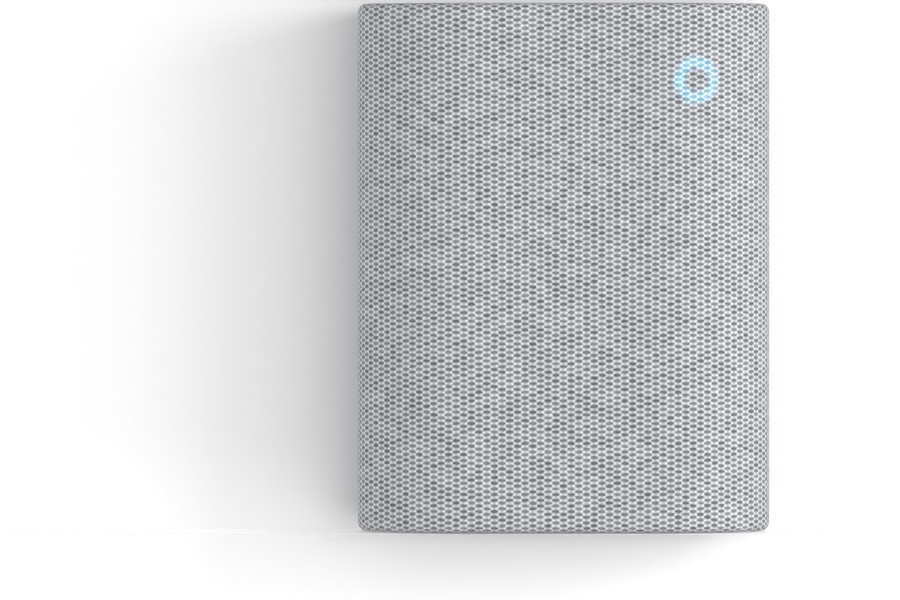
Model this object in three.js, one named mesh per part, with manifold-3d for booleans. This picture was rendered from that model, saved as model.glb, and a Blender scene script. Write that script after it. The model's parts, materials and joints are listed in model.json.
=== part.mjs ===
// Smart speaker: a portrait cloth-wrapped body with a glowing ring behind the cloth.
// Millimetres, +Z up, the front looks along -Y, and the origin is under the middle of the base.
// The section is flat in the middle of the front, rolls away through two radii to the widest
// point, and comes back round the rear corners to a flat back.
import * as THREE from 'three';
import { mergeVertices } from 'three/addons/utils/BufferGeometryUtils.js';
import Module from 'manifold-3d';

const wasm = await Module();
wasm.setup();

// ---------------------------------------------------------------- driving dimensions
const WIDTH = 124;
const HEIGHT = 159;
const DEPTH = 52;
const FRONT_RADIUS = 41.7; // the front rolls away with this radius through ROLL_ANGLE
const SIDE_RADIUS = 19.5; // and then with this one, up to the widest point
const REAR_RADIUS = 20;
const ROLL_ANGLE = 45;
const EDGE_RADIUS = 2.4; // rounding of the top and bottom edges
const FOOT_PROUD = 0.4; // how far the foot pad stands below the cloth

const GAP = 0.3; // clearance between pieces that touch
const CLOTH = 0.9; // cloth thickness
const CLOTH_LIP = 4.2; // the cloth turns in this far over the ends
const WALL = 2.2; // moulded shell wall
const SPLIT_Y = 6; // the front shell ends and the rear housing starts here

const PANEL_WIDTH = 76;
const PANEL_HEIGHT = 138;
const PANEL_CORNER = 12;
const PANEL_FRONT_Y = 23.7;

const RING_X = 40;
const RING_DROP = 23.1; // ring centre below the top
const RING_OUTER = 7.0; // radii of the glowing ring
const RING_INNER = 3.55;

const KEY_X = 13;
const KEY_LENGTH = 18;
const KEY_WIDTH = 8;
const KEY_CLEARANCE = 0.35;
const MIC_X = 38;
const MIC_HOLE = 0.7;

const TOP_BOARD_DEPTH = 8.2; // the top board's upper face is this far below the top
const BOARD_THICKNESS = 1.2;

const WOOFER_Z = 80;
const WOOFER_LUG_REACH = 27.6; // each lug's distance from the axis along X and along Z
const TWEETER_X = -24;
const TWEETER_Z = 130;
const PASSIVE_Z = 24;

const BAFFLE_WIDTH = 104;
const BAFFLE_HEIGHT = 142;
const BAFFLE_Z = 77.5;
const BAFFLE_FRONT_Y = -12.2;
const BAFFLE_BACK_Y = -9.2;
const FLANGE_FRONT_Y = -14.5; // driver flanges stand on the front of the baffle
const FLANGE_BACK_Y = BAFFLE_FRONT_Y - GAP;
const TUB_FRONT_Y = -7.5;
const TUB_BACK_Y = 16.2;

const INLET_Z = 22;
const INLET_WIDTH = 30; // the inlet recess, inside its walls
const INLET_HEIGHT = 18;
const INLET_CORNER = 1.2;
const INLET_WALL = 1.5;
const CONTROL_X = 26; // the mute slider is on one side of the inlet, the reset button on the other
const CONTROL_Z = 26;
const MUTE_TRAVEL = 3;
const MUTE_KNOB_WIDTH = 5.8;
const MUTE_KNOB_HEIGHT = 3.4;
const RESET_RADIUS = 2.5;
const RESET_FLANGE_RADIUS = 3.5;
const CONTROL_BACK_Y = 25.6; // the knob and the button end here, a little inside the back
const KEYHOLE_X = 22;
const KEYHOLE_Z = 122;
const SCREW_X = 32;
const SCREW_ZS = [16, 143];
const SCREW_HOLE = 1.5; // radius of every screw's clearance hole

const TURN_STEPS = 20; // facets round a turned piece

// ---------------------------------------------------------------- derived dimensions
const FRONT_Y = -DEPTH / 2;
const BACK_Y = DEPTH / 2;
const ROLL = THREE.MathUtils.degToRad(ROLL_ANGLE);
const FRONT_FLAT = WIDTH / 2 - FRONT_RADIUS * Math.sin(ROLL) - SIDE_RADIUS * (1 - Math.sin(ROLL));
const FRONT_CENTRE_Y = FRONT_Y + FRONT_RADIUS;
const SIDE_CENTRE_X = WIDTH / 2 - SIDE_RADIUS;
const SIDE_CENTRE_Y = FRONT_CENTRE_Y - (FRONT_RADIUS - SIDE_RADIUS) * Math.cos(ROLL);
const REAR_CENTRE_X = WIDTH / 2 - REAR_RADIUS;
const REAR_CENTRE_Y = BACK_Y - REAR_RADIUS;
const SHELL_INSET = CLOTH + GAP;
const SHELL_INNER = SHELL_INSET + WALL;
const RIM_DEPTH = SHELL_INSET + 2; // the shells' end rims reach this far below the ends
const RIM_LIP = CLOTH_LIP + 0.2;
const CAP_DROP = 0.6; // the end caps sit this far inside the cloth
const CAP_PLATE_DEPTH = 4.5; // the caps' plates and flanges reach this far below the ends
const CAP_FLANGE_DEPTH = 5.5;
const CAP_THICKNESS = 2;
const CAP_WALL = 1.6;
const FOOT_INSET = 8.2; // the foot pad's recess, drawn in from the cloth's outer face
const RING_Z = HEIGHT - RING_DROP;
const PANEL_Z = HEIGHT / 2;
const CHASSIS_BACK_Y = PANEL_FRONT_Y - GAP;
const CHASSIS_FRONT_Y = CHASSIS_BACK_Y - 3;
const CHASSIS_FLANGE = 3; // the chassis reaches this far behind the housing, all round its opening

// ---------------------------------------------------------------- finishes
function finish(color, roughness, metalness = 0) {
  return new THREE.MeshStandardMaterial({ color, roughness, metalness });
}

const CLOTH_FINISH = finish(0xb4b7bc, 0.95);
const SHELL_FINISH = finish(0x3b3d41, 0.6);
const CAP_FINISH = finish(0xc9cbcf, 0.5);
const PANEL_FINISH = finish(0xb9bbc0, 0.55);
const RUBBER_FINISH = finish(0x9b9ea3, 0.85);
const BLACK_RUBBER_FINISH = finish(0x1b1c1e, 0.8);
const DIFFUSER_FINISH = finish(0xc4f0ff, 0.35);
const BOARD_FINISH = finish(0x1f5d3a, 0.5);
const STEEL_FINISH = finish(0xb6b9bd, 0.3, 1);
const MAGNET_FINISH = finish(0x2c2d30, 0.45, 0.6);
const COPPER_FINISH = finish(0xb06a3a, 0.4, 0.9);
const PAPER_FINISH = finish(0x26272a, 0.9);
const SPIDER_FINISH = finish(0xc7a24e, 0.9);
const SILK_FINISH = finish(0x34363b, 0.7);
const FOAM_FINISH = finish(0x55585d, 1);
const BLACK_PLASTIC_FINISH = finish(0x202124, 0.5);
const FLEX_FINISH = finish(0xb5762c, 0.5);

// ---------------------------------------------------------------- outlines
function arcPoints(cx, cy, radius, fromDegrees, toDegrees, steps) {
  const points = [];
  for (let step = 0; step <= steps; step += 1) {
    const angle = THREE.MathUtils.degToRad(fromDegrees + ((toDegrees - fromDegrees) * step) / steps);
    points.push(new THREE.Vector2(cx + radius * Math.cos(angle), cy + radius * Math.sin(angle)));
  }
  return points;
}

// The horizontal section of the body, drawn inset from the cloth's outer face.
function bodyOutline(inset) {
  const roll = arcPoints(FRONT_FLAT, FRONT_CENTRE_Y, FRONT_RADIUS - inset, -90, ROLL_ANGLE - 90, 4);
  const side = arcPoints(SIDE_CENTRE_X, SIDE_CENTRE_Y, SIDE_RADIUS - inset, ROLL_ANGLE - 90, 0, 4);
  const rear = arcPoints(REAR_CENTRE_X, REAR_CENTRE_Y, REAR_RADIUS - inset, 0, 90, 5);
  const right = [...roll, ...side.slice(1), ...rear];
  const left = right.map((point) => new THREE.Vector2(-point.x, point.y)).reverse();
  return new THREE.Shape([...right, ...left]);
}

function circle(radius, cx = 0, cy = 0, steps = TURN_STEPS) {
  return new THREE.Shape(arcPoints(cx, cy, radius, 0, 360, steps).slice(0, -1));
}

function roundedRect(width, height, radius, cx = 0, cy = 0, steps = 3) {
  const dx = width / 2 - radius;
  const dy = height / 2 - radius;
  return new THREE.Shape([
    ...arcPoints(cx + dx, cy - dy, radius, -90, 0, steps),
    ...arcPoints(cx + dx, cy + dy, radius, 0, 90, steps),
    ...arcPoints(cx - dx, cy + dy, radius, 90, 180, steps),
    ...arcPoints(cx - dx, cy - dy, radius, 180, 270, steps),
  ]);
}

// An outline with round ends, longer than it is high.
function racetrack(width, height, cx = 0, cy = 0, steps = 8) {
  const radius = height / 2;
  const reach = width / 2 - radius;
  return new THREE.Shape([
    ...arcPoints(cx + reach, cy, radius, -90, 90, steps),
    ...arcPoints(cx - reach, cy, radius, 90, 270, steps),
  ]);
}

// ---------------------------------------------------------------- solids
function signedVolume(positions, triangles) {
  const corners = [new THREE.Vector3(), new THREE.Vector3(), new THREE.Vector3()];
  let volume = 0;
  for (let i = 0; i < triangles.length; i += 3) {
    corners.forEach((corner, k) => corner.fromArray(positions, triangles[i + k] * 3));
    volume += corners[0].dot(corners[1].clone().cross(corners[2])) / 6;
  }
  return volume;
}

// A solid from a closed geometry: its corners are merged, and its faces are turned outwards.
function toSolid(geometry) {
  const bare = geometry.clone();
  bare.deleteAttribute('normal');
  bare.deleteAttribute('uv');
  const merged = mergeVertices(bare, 1e-4);
  const positions = new Float32Array(merged.attributes.position.array);
  const triangles = [];
  const index = merged.index.array;
  for (let i = 0; i < index.length; i += 3) {
    const [a, b, c] = [index[i], index[i + 1], index[i + 2]];
    if (a !== b && b !== c && c !== a) {
      triangles.push(a, b, c);
    }
  }
  if (signedVolume(positions, triangles) < 0) {
    triangles.reverse();
  }
  return new wasm.Manifold(
    new wasm.Mesh({ numProp: 3, vertProperties: positions, triVerts: new Uint32Array(triangles) }),
  );
}

function toGeometry(solid) {
  const mesh = solid.getMesh();
  const geometry = new THREE.BufferGeometry();
  geometry.setAttribute('position', new THREE.BufferAttribute(new Float32Array(mesh.vertProperties), 3));
  geometry.setIndex(new THREE.BufferAttribute(new Uint32Array(mesh.triVerts), 1));
  geometry.computeVertexNormals();
  return geometry;
}

function extruded(shape, length, edge) {
  return new THREE.ExtrudeGeometry(shape, {
    depth: length - 2 * edge,
    bevelEnabled: edge > 0,
    bevelThickness: edge,
    bevelSize: edge,
    bevelOffset: -edge,
    bevelSegments: edge > 1 ? 3 : 1,
  });
}

// An outline in X and Y, raised from z0 to z1, with its ends rounded by edge.
function upright(shape, z0, z1, edge = 0) {
  return toSolid(extruded(shape, z1 - z0, edge).translate(0, 0, z0 + edge));
}

// An outline in X and Z, reaching from y0 to y1, with its ends rounded by edge.
function facing(shape, y0, y1, edge = 0) {
  return toSolid(extruded(shape, y1 - y0, edge).rotateX(Math.PI / 2).translate(0, y1 - edge, 0));
}

// A profile of [radius, y] points turned about an axis along Y through x, z.
function turned(profile, x = 0, z = 0, steps = TURN_STEPS) {
  const points = profile.map(([radius, y]) => new THREE.Vector2(radius, y));
  if (profile[0][0] > 0) {
    points.push(points[0].clone());
  }
  return toSolid(new THREE.LatheGeometry(points, steps).translate(x, 0, z));
}

function block(x0, x1, y0, y1, z0, z1) {
  const box = new THREE.BoxGeometry(x1 - x0, y1 - y0, z1 - z0);
  return toSolid(box.translate((x0 + x1) / 2, (y0 + y1) / 2, (z0 + z1) / 2));
}

// The whole body's form, inset on its sides, and by endInset at its top and bottom.
function bodySolid(inset, endInset = inset) {
  const edge = Math.max(EDGE_RADIUS - inset, 0);
  return upright(bodyOutline(inset), FOOT_PROUD + endInset, HEIGHT - endInset, edge);
}

// ---------------------------------------------------------------- assembly
const speaker = new THREE.Group();
speaker.name = 'smart_speaker';

function addPart(name, solid, material, parent = speaker) {
  const mesh = new THREE.Mesh(toGeometry(solid), material);
  mesh.name = name;
  parent.add(mesh);
}

// The rear panel's outline, drawn larger all round by extra.
function panelOutline(extra) {
  const width = PANEL_WIDTH + 2 * extra;
  return roundedRect(width, PANEL_HEIGHT + 2 * extra, PANEL_CORNER + extra, 0, PANEL_Z);
}

function panelOpening(y0, y1) {
  return facing(panelOutline(GAP), y0, y1);
}

// The outline of the power inlet's recess, drawn larger all round by extra.
function inletOutline(extra) {
  const width = INLET_WIDTH + 2 * extra;
  return roundedRect(width, INLET_HEIGHT + 2 * extra, INLET_CORNER + extra / 2, 0, INLET_Z);
}

// Room behind a keyhole for the head of the wall's screw.
function headRoom(side) {
  return roundedRect(10.5, 19, 5.2, side * KEYHOLE_X, KEYHOLE_Z);
}

function addClothSleeve() {
  const ends = upright(bodyOutline(CLOTH_LIP), -1, HEIGHT + 1);
  const sleeve = bodySolid(0).subtract(bodySolid(CLOTH)).subtract(ends);
  addPart('fabric_sleeve', sleeve.subtract(panelOpening(BACK_Y - 2, BACK_Y + 1)), CLOTH_FINISH);
}

// Both shells come from one hollow form with a rim at each end.
function shellForm() {
  const ends = upright(bodyOutline(RIM_LIP), -1, HEIGHT + 1);
  return bodySolid(SHELL_INSET).subtract(bodySolid(SHELL_INNER, RIM_DEPTH)).subtract(ends);
}

// The sound passes through three columns of slots in the front shell.
function grilleSlots() {
  const slotLength = 27;
  const slotHeight = 7;
  const slotPitch = 11.4;
  const slotCount = 12;
  const firstZ = 14;
  const columnPitch = 31;
  const ringKeepOut = 15;
  const slots = [];
  for (let column = -1; column <= 1; column += 1) {
    for (let row = 0; row < slotCount; row += 1) {
      const x = column * columnPitch;
      const z = firstZ + row * slotPitch;
      const besideRing = column === 1 && Math.abs(z - RING_Z) < ringKeepOut;
      if (!besideRing) {
        slots.push(
          block(x - slotLength / 2, x + slotLength / 2, FRONT_Y - 1, BAFFLE_FRONT_Y, z, z + slotHeight),
        );
      }
    }
  }
  return slots;
}

// The ring's own frame: +Y goes into the body, square to the surface of the cloth.
const ringAngle = Math.asin((RING_X - FRONT_FLAT) / FRONT_RADIUS);
const ringFrame = new THREE.Group();
ringFrame.position.set(RING_X, FRONT_CENTRE_Y - FRONT_RADIUS * Math.cos(ringAngle), RING_Z);
ringFrame.rotation.z = ringAngle;
ringFrame.updateMatrix();
speaker.add(ringFrame);

function addShells() {
  const ringHole = facing(circle(RING_OUTER + 0.5), 0, 5).transform(ringFrame.matrix.elements.slice());
  let front = shellForm().intersect(block(-WIDTH, WIDTH, -DEPTH, SPLIT_Y, -1, HEIGHT + 1));
  front = front.subtract(ringHole);
  for (const slot of grilleSlots()) {
    front = front.subtract(slot);
  }
  addPart('grille_shell', front, SHELL_FINISH);

  const rear = shellForm()
    .intersect(block(-WIDTH, WIDTH, SPLIT_Y + GAP, DEPTH, -1, HEIGHT + 1))
    .subtract(panelOpening(0, BACK_Y + 1));
  addPart('rear_housing', rear, SHELL_FINISH);
}

// The chassis closes the rear housing behind the panel: its step fills the opening, and its flange
// bears on the housing's inner face.
function addChassis() {
  const step = facing(panelOutline(0), CHASSIS_FRONT_Y, CHASSIS_BACK_Y);
  const flange = facing(panelOutline(CHASSIS_FLANGE), CHASSIS_FRONT_Y, BACK_Y - SHELL_INNER - GAP);
  const through = [CHASSIS_FRONT_Y - 1, CHASSIS_BACK_Y + 1];
  const sliderHole = roundedRect(16, 8, 1.5, CONTROL_X, CONTROL_Z);
  const buttonHole = circle(RESET_FLANGE_RADIUS + 0.4, -CONTROL_X, CONTROL_Z);
  let chassis = step.add(flange);
  for (const hole of [inletOutline(INLET_WALL + GAP), sliderHole, buttonHole]) {
    chassis = chassis.subtract(facing(hole, ...through));
  }
  for (const side of [-1, 1]) {
    const pocket = facing(headRoom(side), CHASSIS_FRONT_Y + 1, CHASSIS_BACK_Y + 1);
    chassis = chassis.subtract(pocket);
    for (const z of SCREW_ZS) {
      chassis = chassis.subtract(facing(circle(SCREW_HOLE, side * SCREW_X, z, 8), ...through));
    }
  }
  addPart('rear_chassis', chassis, SHELL_FINISH);
}

// An end cap: a plate inside the cloth's lip, and a flange that clips under the shells' rim.
function endCap() {
  const rim = RIM_LIP + GAP;
  const plate = upright(bodyOutline(rim), HEIGHT - CAP_PLATE_DEPTH, HEIGHT - CAP_DROP);
  const flangeOutline = bodyOutline(SHELL_INNER + 0.5);
  const flange = upright(flangeOutline, HEIGHT - CAP_FLANGE_DEPTH, HEIGHT - RIM_DEPTH - GAP);
  const hollowTop = HEIGHT - CAP_DROP - CAP_THICKNESS;
  const hollow = upright(bodyOutline(rim + CAP_WALL), HEIGHT - CAP_FLANGE_DEPTH - 1, hollowTop);
  return plate.add(flange).subtract(hollow);
}

function keyOutline(extra) {
  return racetrack(KEY_LENGTH + 2 * extra, KEY_WIDTH + 2 * extra);
}

function addTop() {
  let cap = endCap();
  for (const side of [-1, 1]) {
    const keyHole = upright(keyOutline(KEY_CLEARANCE), HEIGHT - 5, HEIGHT + 1);
    cap = cap.subtract(keyHole.translate([side * KEY_X, 0, 0]));
    cap = cap.subtract(upright(circle(MIC_HOLE, side * MIC_X, 0, 10), HEIGHT - 5, HEIGHT + 1));
  }
  addPart('top_cap', cap, CAP_FINISH);

  const markReach = 1.6;
  const markHalf = 0.35;
  const markZ = HEIGHT - CAP_DROP - 0.3;
  const dash = block(-markReach, markReach, -markHalf, markHalf, markZ, HEIGHT);
  const upstroke = block(-markHalf, markHalf, -markReach, markReach, markZ, HEIGHT);
  // Each key has a flange that stops it under the cap, and a stem that presses its switch.
  const flangeTop = HEIGHT - CAP_DROP - CAP_THICKNESS - GAP;
  const flangeBottom = flangeTop - 1.3;
  const stemBottom = flangeBottom - 1.2;
  const key = upright(keyOutline(0), flangeBottom + 0.2, HEIGHT - CAP_DROP, 0.4)
    .add(upright(keyOutline(1.2), flangeBottom, flangeTop))
    .add(upright(circle(2, 0, 0, 12), stemBottom, flangeBottom + 0.2));
  addPart('volume_up_key', key.subtract(dash.add(upstroke)).translate([KEY_X, 0, 0]), CAP_FINISH);
  addPart('volume_down_key', key.subtract(dash).translate([-KEY_X, 0, 0]), CAP_FINISH);

  const boardTop = HEIGHT - TOP_BOARD_DEPTH;
  const boardOutline = roundedRect(92, 26, 3);
  addPart('top_board', upright(boardOutline, boardTop - BOARD_THICKNESS, boardTop), BOARD_FINISH);
  const onBoard = boardTop + GAP;
  const tactSwitch = block(-3, 3, -3, 3, onBoard, onBoard + 1).add(
    upright(circle(1.7, 0, 0, 12), onBoard + 0.5, onBoard + 1.5),
  );
  addPart('volume_up_switch', tactSwitch.translate([KEY_X, 0, 0]), BLACK_PLASTIC_FINISH);
  addPart('volume_down_switch', tactSwitch.translate([-KEY_X, 0, 0]), BLACK_PLASTIC_FINISH);
  const microphone = block(-2, 2, -1.5, 1.5, onBoard, onBoard + 1.1);
  addPart('microphone_left', microphone.translate([-MIC_X, 0, 0]), STEEL_FINISH);
  addPart('microphone_right', microphone.translate([MIC_X, 0, 0]), STEEL_FINISH);
}

function addBottom() {
  const padThickness = 1.6;
  const turnedOver = endCap().mirror([0, 0, 1]).translate([0, 0, HEIGHT + FOOT_PROUD]);
  const recess = upright(bodyOutline(FOOT_INSET), 0, padThickness + GAP);
  addPart('bottom_cap', turnedOver.subtract(recess), CAP_FINISH);
  addPart('foot_pad', upright(bodyOutline(FOOT_INSET + GAP), 0, padThickness, 0.3), RUBBER_FINISH);
}

// ---------------------------------------------------------------- light ring
function addRing() {
  const front = 2;
  const seat = 5;
  const back = 7.2;
  addPart(
    'ring_diffuser',
    turned([[RING_INNER, front], [RING_OUTER, front], [RING_OUTER, seat - GAP], [RING_INNER, seat - GAP]]),
    DIFFUSER_FINISH,
    ringFrame,
  );

  const housingRadius = 8.5;
  const postRadius = RING_INNER - GAP;
  const wellFloor = 6.2;
  const ledCount = 8;
  const ledRadius = (RING_OUTER + RING_INNER) / 2;
  let housing = turned([
    [0, front + 0.3],
    [postRadius, front + 0.3],
    [postRadius, wellFloor],
    [RING_OUTER, wellFloor],
    [RING_OUTER, seat],
    [housingRadius, seat],
    [housingRadius, back],
    [0, back],
  ]);
  const boardFront = back + GAP;
  const boardBack = boardFront + 1;
  let board = turned([
    [0, boardFront],
    [housingRadius, boardFront],
    [housingRadius, boardBack],
    [0, boardBack],
  ]);
  for (let led = 0; led < ledCount; led += 1) {
    const angle = (2 * Math.PI * led) / ledCount;
    const x = ledRadius * Math.cos(angle);
    const z = ledRadius * Math.sin(angle);
    housing = housing.subtract(block(x - 1.1, x + 1.1, wellFloor - 1, back + 1, z - 1.1, z + 1.1));
    board = board.add(block(x - 0.8, x + 0.8, back - 0.4, back + 0.8, z - 0.8, z + 0.8));
  }
  addPart('ring_housing', housing, BLACK_PLASTIC_FINISH, ringFrame);
  addPart('ring_led_board', board, BOARD_FINISH, ringFrame);
}

// ---------------------------------------------------------------- acoustic box
function lugCentres() {
  const low = WOOFER_Z - WOOFER_LUG_REACH;
  const high = WOOFER_Z + WOOFER_LUG_REACH;
  return [-WOOFER_LUG_REACH, WOOFER_LUG_REACH].flatMap((x) => [[x, low], [x, high]]);
}

function lugCircles(radius) {
  return lugCentres().map(([x, z]) => circle(radius, x, z, 10));
}

function addAcousticBox() {
  const plateOutline = roundedRect(BAFFLE_WIDTH, BAFFLE_HEIGHT, 8, 0, BAFFLE_Z);
  const through = [BAFFLE_FRONT_Y - 1, BAFFLE_BACK_Y + 1];
  let baffle = facing(plateOutline, BAFFLE_FRONT_Y, BAFFLE_BACK_Y);
  baffle = baffle.subtract(facing(circle(36, 0, WOOFER_Z), ...through));
  baffle = baffle.subtract(facing(circle(12.2, TWEETER_X, TWEETER_Z), ...through));
  baffle = baffle.subtract(facing(racetrack(87, 26, 0, PASSIVE_Z), ...through));
  for (const hole of lugCircles(SCREW_HOLE)) {
    baffle = baffle.subtract(facing(hole, ...through));
  }
  addPart('front_baffle', baffle, SHELL_FINISH);

  const gasketFront = BAFFLE_BACK_Y + GAP;
  const gasketBack = TUB_FRONT_Y - GAP;
  const gasketHole = roundedRect(BAFFLE_WIDTH - 4, BAFFLE_HEIGHT - 4, 6, 0, BAFFLE_Z);
  const gasket = facing(plateOutline, gasketFront, gasketBack).subtract(
    facing(gasketHole, gasketFront - 1, gasketBack + 1),
  );
  addPart('baffle_gasket', gasket, FOAM_FINISH);

  // A notch at the foot of the tub leaves room for the power inlet.
  const notchX = 19;
  const notchTop = 38;
  const notchFront = 3;
  const wall = 2;
  const hollow = facing(gasketHole, TUB_FRONT_Y - 1, TUB_BACK_Y - wall).subtract(
    block(-notchX - wall, notchX + wall, notchFront - wall, TUB_BACK_Y, 0, notchTop + wall),
  );
  const tub = facing(plateOutline, TUB_FRONT_Y, TUB_BACK_Y)
    .subtract(block(-notchX, notchX, notchFront, TUB_BACK_Y + 1, 0, notchTop))
    .subtract(hollow);
  addPart('acoustic_tub', tub, SHELL_FINISH);
  addPart('damping_foam', block(0, 46, 3, TUB_BACK_Y - wall - GAP, 120, 144), FOAM_FINISH);
}

// The cross in a screw's head, at x, z.
function cross(x, z, reach, half, y0, y1) {
  return block(x - reach, x + reach, y0, y1, z - half, z + half).add(
    block(x - half, x + half, y0, y1, z - reach, z + reach),
  );
}

// ---------------------------------------------------------------- woofer
function addWoofer() {
  const flangeRadius = 38;
  const throatRadius = 33.4;
  const coneRadius = 27;
  const neckRadius = 13;
  const formerOuter = 12.7;
  const formerInner = 12.1;
  const baseRadius = 15.5;
  const baseBack = 2.7;
  const baseFront = baseBack - 1.5;

  let basket = turned([
    [flangeRadius, FLANGE_FRONT_Y],
    [flangeRadius, FLANGE_BACK_Y],
    [throatRadius + 2, FLANGE_BACK_Y],
    [26, baseBack],
    [baseRadius, baseBack],
    [baseRadius, baseFront],
    [24.8, baseFront],
    [throatRadius, FLANGE_BACK_Y],
    [throatRadius, FLANGE_FRONT_Y],
  ]);
  // Six windows leave six ribs between the flange and the base ring.
  for (let rib = 0; rib < 6; rib += 1) {
    const opening = block(18, 40, -10.5, 0.2, -8, 8);
    basket = basket.subtract(opening.rotate([0, rib * 60, 0]));
  }
  basket = basket.translate([0, 0, WOOFER_Z]);
  for (const lug of lugCircles(4.4)) {
    basket = basket.add(facing(lug, FLANGE_FRONT_Y, FLANGE_BACK_Y));
  }
  basket = basket.subtract(
    facing(circle(throatRadius, 0, WOOFER_Z), FLANGE_FRONT_Y - 1, FLANGE_BACK_Y + 1),
  );
  for (const hole of lugCircles(SCREW_HOLE)) {
    basket = basket.subtract(facing(hole, FLANGE_FRONT_Y - 1, FLANGE_BACK_Y + 1));
  }
  addPart('woofer_basket', basket, BLACK_PLASTIC_FINISH);

  const rollRadius = (throatRadius - coneRadius) / 2 - GAP;
  const rollCentre = (throatRadius + coneRadius) / 2;
  const rollY = FLANGE_FRONT_Y - GAP;
  const rubber = 0.7;
  const roll = [
    ...arcPoints(rollCentre, rollY, rollRadius, 0, -180, 5),
    ...arcPoints(rollCentre, rollY, rollRadius - rubber, -180, 0, 5),
  ];
  addPart('woofer_surround', turned(roll.map(({ x, y }) => [x, y]), 0, WOOFER_Z), BLACK_RUBBER_FINISH);

  addPart(
    'woofer_cone',
    turned([[coneRadius, -14.8], [coneRadius, -14], [neckRadius, -5], [neckRadius, -5.9]], 0, WOOFER_Z),
    PAPER_FINISH,
  );
  addPart(
    'woofer_dust_cap',
    turned(
      [[0, -11], [5, -10.6], [10, -9.4], [14, -7.7], [14, -7.1], [10, -8.8], [5, -10], [0, -10.4]],
      0,
      WOOFER_Z,
    ),
    PAPER_FINISH,
  );
  const formerFront = -6.5;
  const windingFront = 1.5;
  const windingBack = 6.4;
  const windingOuter = formerOuter + 0.35;
  addPart(
    'woofer_voice_coil',
    turned(
      [
        [formerInner, formerFront],
        [formerOuter, formerFront],
        [formerOuter, windingFront],
        [windingOuter, windingFront],
        [windingOuter, windingBack],
        [formerInner, windingBack],
      ],
      0,
      WOOFER_Z,
    ),
    COPPER_FINISH,
  );

  // The spider is a flat corrugated ring that centres the coil.
  const spiderFront = [];
  const spiderBack = [];
  const spiderInner = 13.6;
  const spiderStep = 2.2;
  for (let step = 0; step <= 5; step += 1) {
    const radius = spiderInner + spiderStep * step;
    const wave = step % 2 === 0 ? 0 : 0.4;
    spiderFront.push([radius, -0.1 + wave]);
    spiderBack.push([radius, 0.4 + wave]);
  }
  addPart('woofer_spider', turned([...spiderFront, ...spiderBack.reverse()], 0, WOOFER_Z), SPIDER_FINISH);

  addPart('woofer_top_plate', turned([[13.4, 3], [22, 3], [22, 6], [13.4, 6]], 0, WOOFER_Z), STEEL_FINISH);
  addPart(
    'woofer_magnet',
    turned([[16.5, 6.3], [24, 6.3], [24, 10.7], [16.5, 10.7]], 0, WOOFER_Z),
    MAGNET_FINISH,
  );
  addPart(
    'woofer_yoke',
    turned([[3, 3], [11.5, 3], [11.5, 11], [23, 11], [23, 13.6], [3, 13.6]], 0, WOOFER_Z),
    STEEL_FINISH,
  );

}

function addWooferScrews() {
  const headRadius = 2.6;
  const headBack = FLANGE_FRONT_Y - GAP;
  const headFront = headBack - 1.5;
  const shankRadius = 1.15;
  const shankBack = -7;
  const crossReach = 1.5;
  const crossHalf = 0.35;
  const crossBack = headFront + 0.6;
  let number = 1;
  for (const [x, z] of lugCentres()) {
    const screw = facing(circle(headRadius, x, z, 10), headFront, headBack)
      .add(facing(circle(shankRadius, x, z, 10), headBack - 0.5, shankBack))
      .subtract(cross(x, z, crossReach, crossHalf, headFront - 1, crossBack));
    addPart(`woofer_screw_${number}`, screw, STEEL_FINISH);
    number += 1;
  }
}

// ---------------------------------------------------------------- tweeter
function addTweeter() {
  const plate = [
    [10.8, FLANGE_FRONT_Y + 1],
    [13, FLANGE_FRONT_Y],
    [16, FLANGE_FRONT_Y],
    [16, FLANGE_BACK_Y],
    [10.8, FLANGE_BACK_Y],
  ];
  const dome = [
    [0, -16.6],
    [5, -15.9],
    [9, -14],
    [10.4, -12.8],
    [9.6, -12.8],
    [8.5, -13.8],
    [4.8, -15.4],
    [0, -16.1],
  ];
  const coil = [[9.3, -12.4], [10, -12.4], [10, -7.5], [9.3, -7.5]];
  const cup = [
    [0, -11.5],
    [8.8, -11.5],
    [8.8, -6],
    [10.5, -6],
    [10.5, -12],
    [11.6, -12],
    [11.6, -2.2],
    [0, -2.2],
  ];
  addPart('tweeter_faceplate', turned(plate, TWEETER_X, TWEETER_Z), BLACK_PLASTIC_FINISH);
  addPart('tweeter_dome', turned(dome, TWEETER_X, TWEETER_Z), SILK_FINISH);
  addPart('tweeter_voice_coil', turned(coil, TWEETER_X, TWEETER_Z), COPPER_FINISH);
  addPart('tweeter_magnet_cup', turned(cup, TWEETER_X, TWEETER_Z), STEEL_FINISH);
}

// ---------------------------------------------------------------- passive radiator
function addPassiveRadiator() {
  const through = [FLANGE_FRONT_Y - 4, FLANGE_BACK_Y + 2];
  const frame = facing(racetrack(92, 31, 0, PASSIVE_Z), FLANGE_FRONT_Y, FLANGE_BACK_Y).subtract(
    facing(racetrack(86, 25, 0, PASSIVE_Z), ...through),
  );
  const surround = facing(racetrack(85.4, 24.4, 0, PASSIVE_Z), -16.8, -14, 1.3).subtract(
    facing(racetrack(75.6, 14.6, 0, PASSIVE_Z), ...through),
  );
  addPart('passive_frame', frame, BLACK_PLASTIC_FINISH);
  addPart('passive_surround', surround, BLACK_RUBBER_FINISH);
  addPart('passive_diaphragm', facing(racetrack(75, 14, 0, PASSIVE_Z), -15.4, -14, 0.3), PAPER_FINISH);
  addPart('passive_mass', facing(racetrack(40, 9, 0, PASSIVE_Z), -13.7, -10.5), STEEL_FINISH);
}

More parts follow.
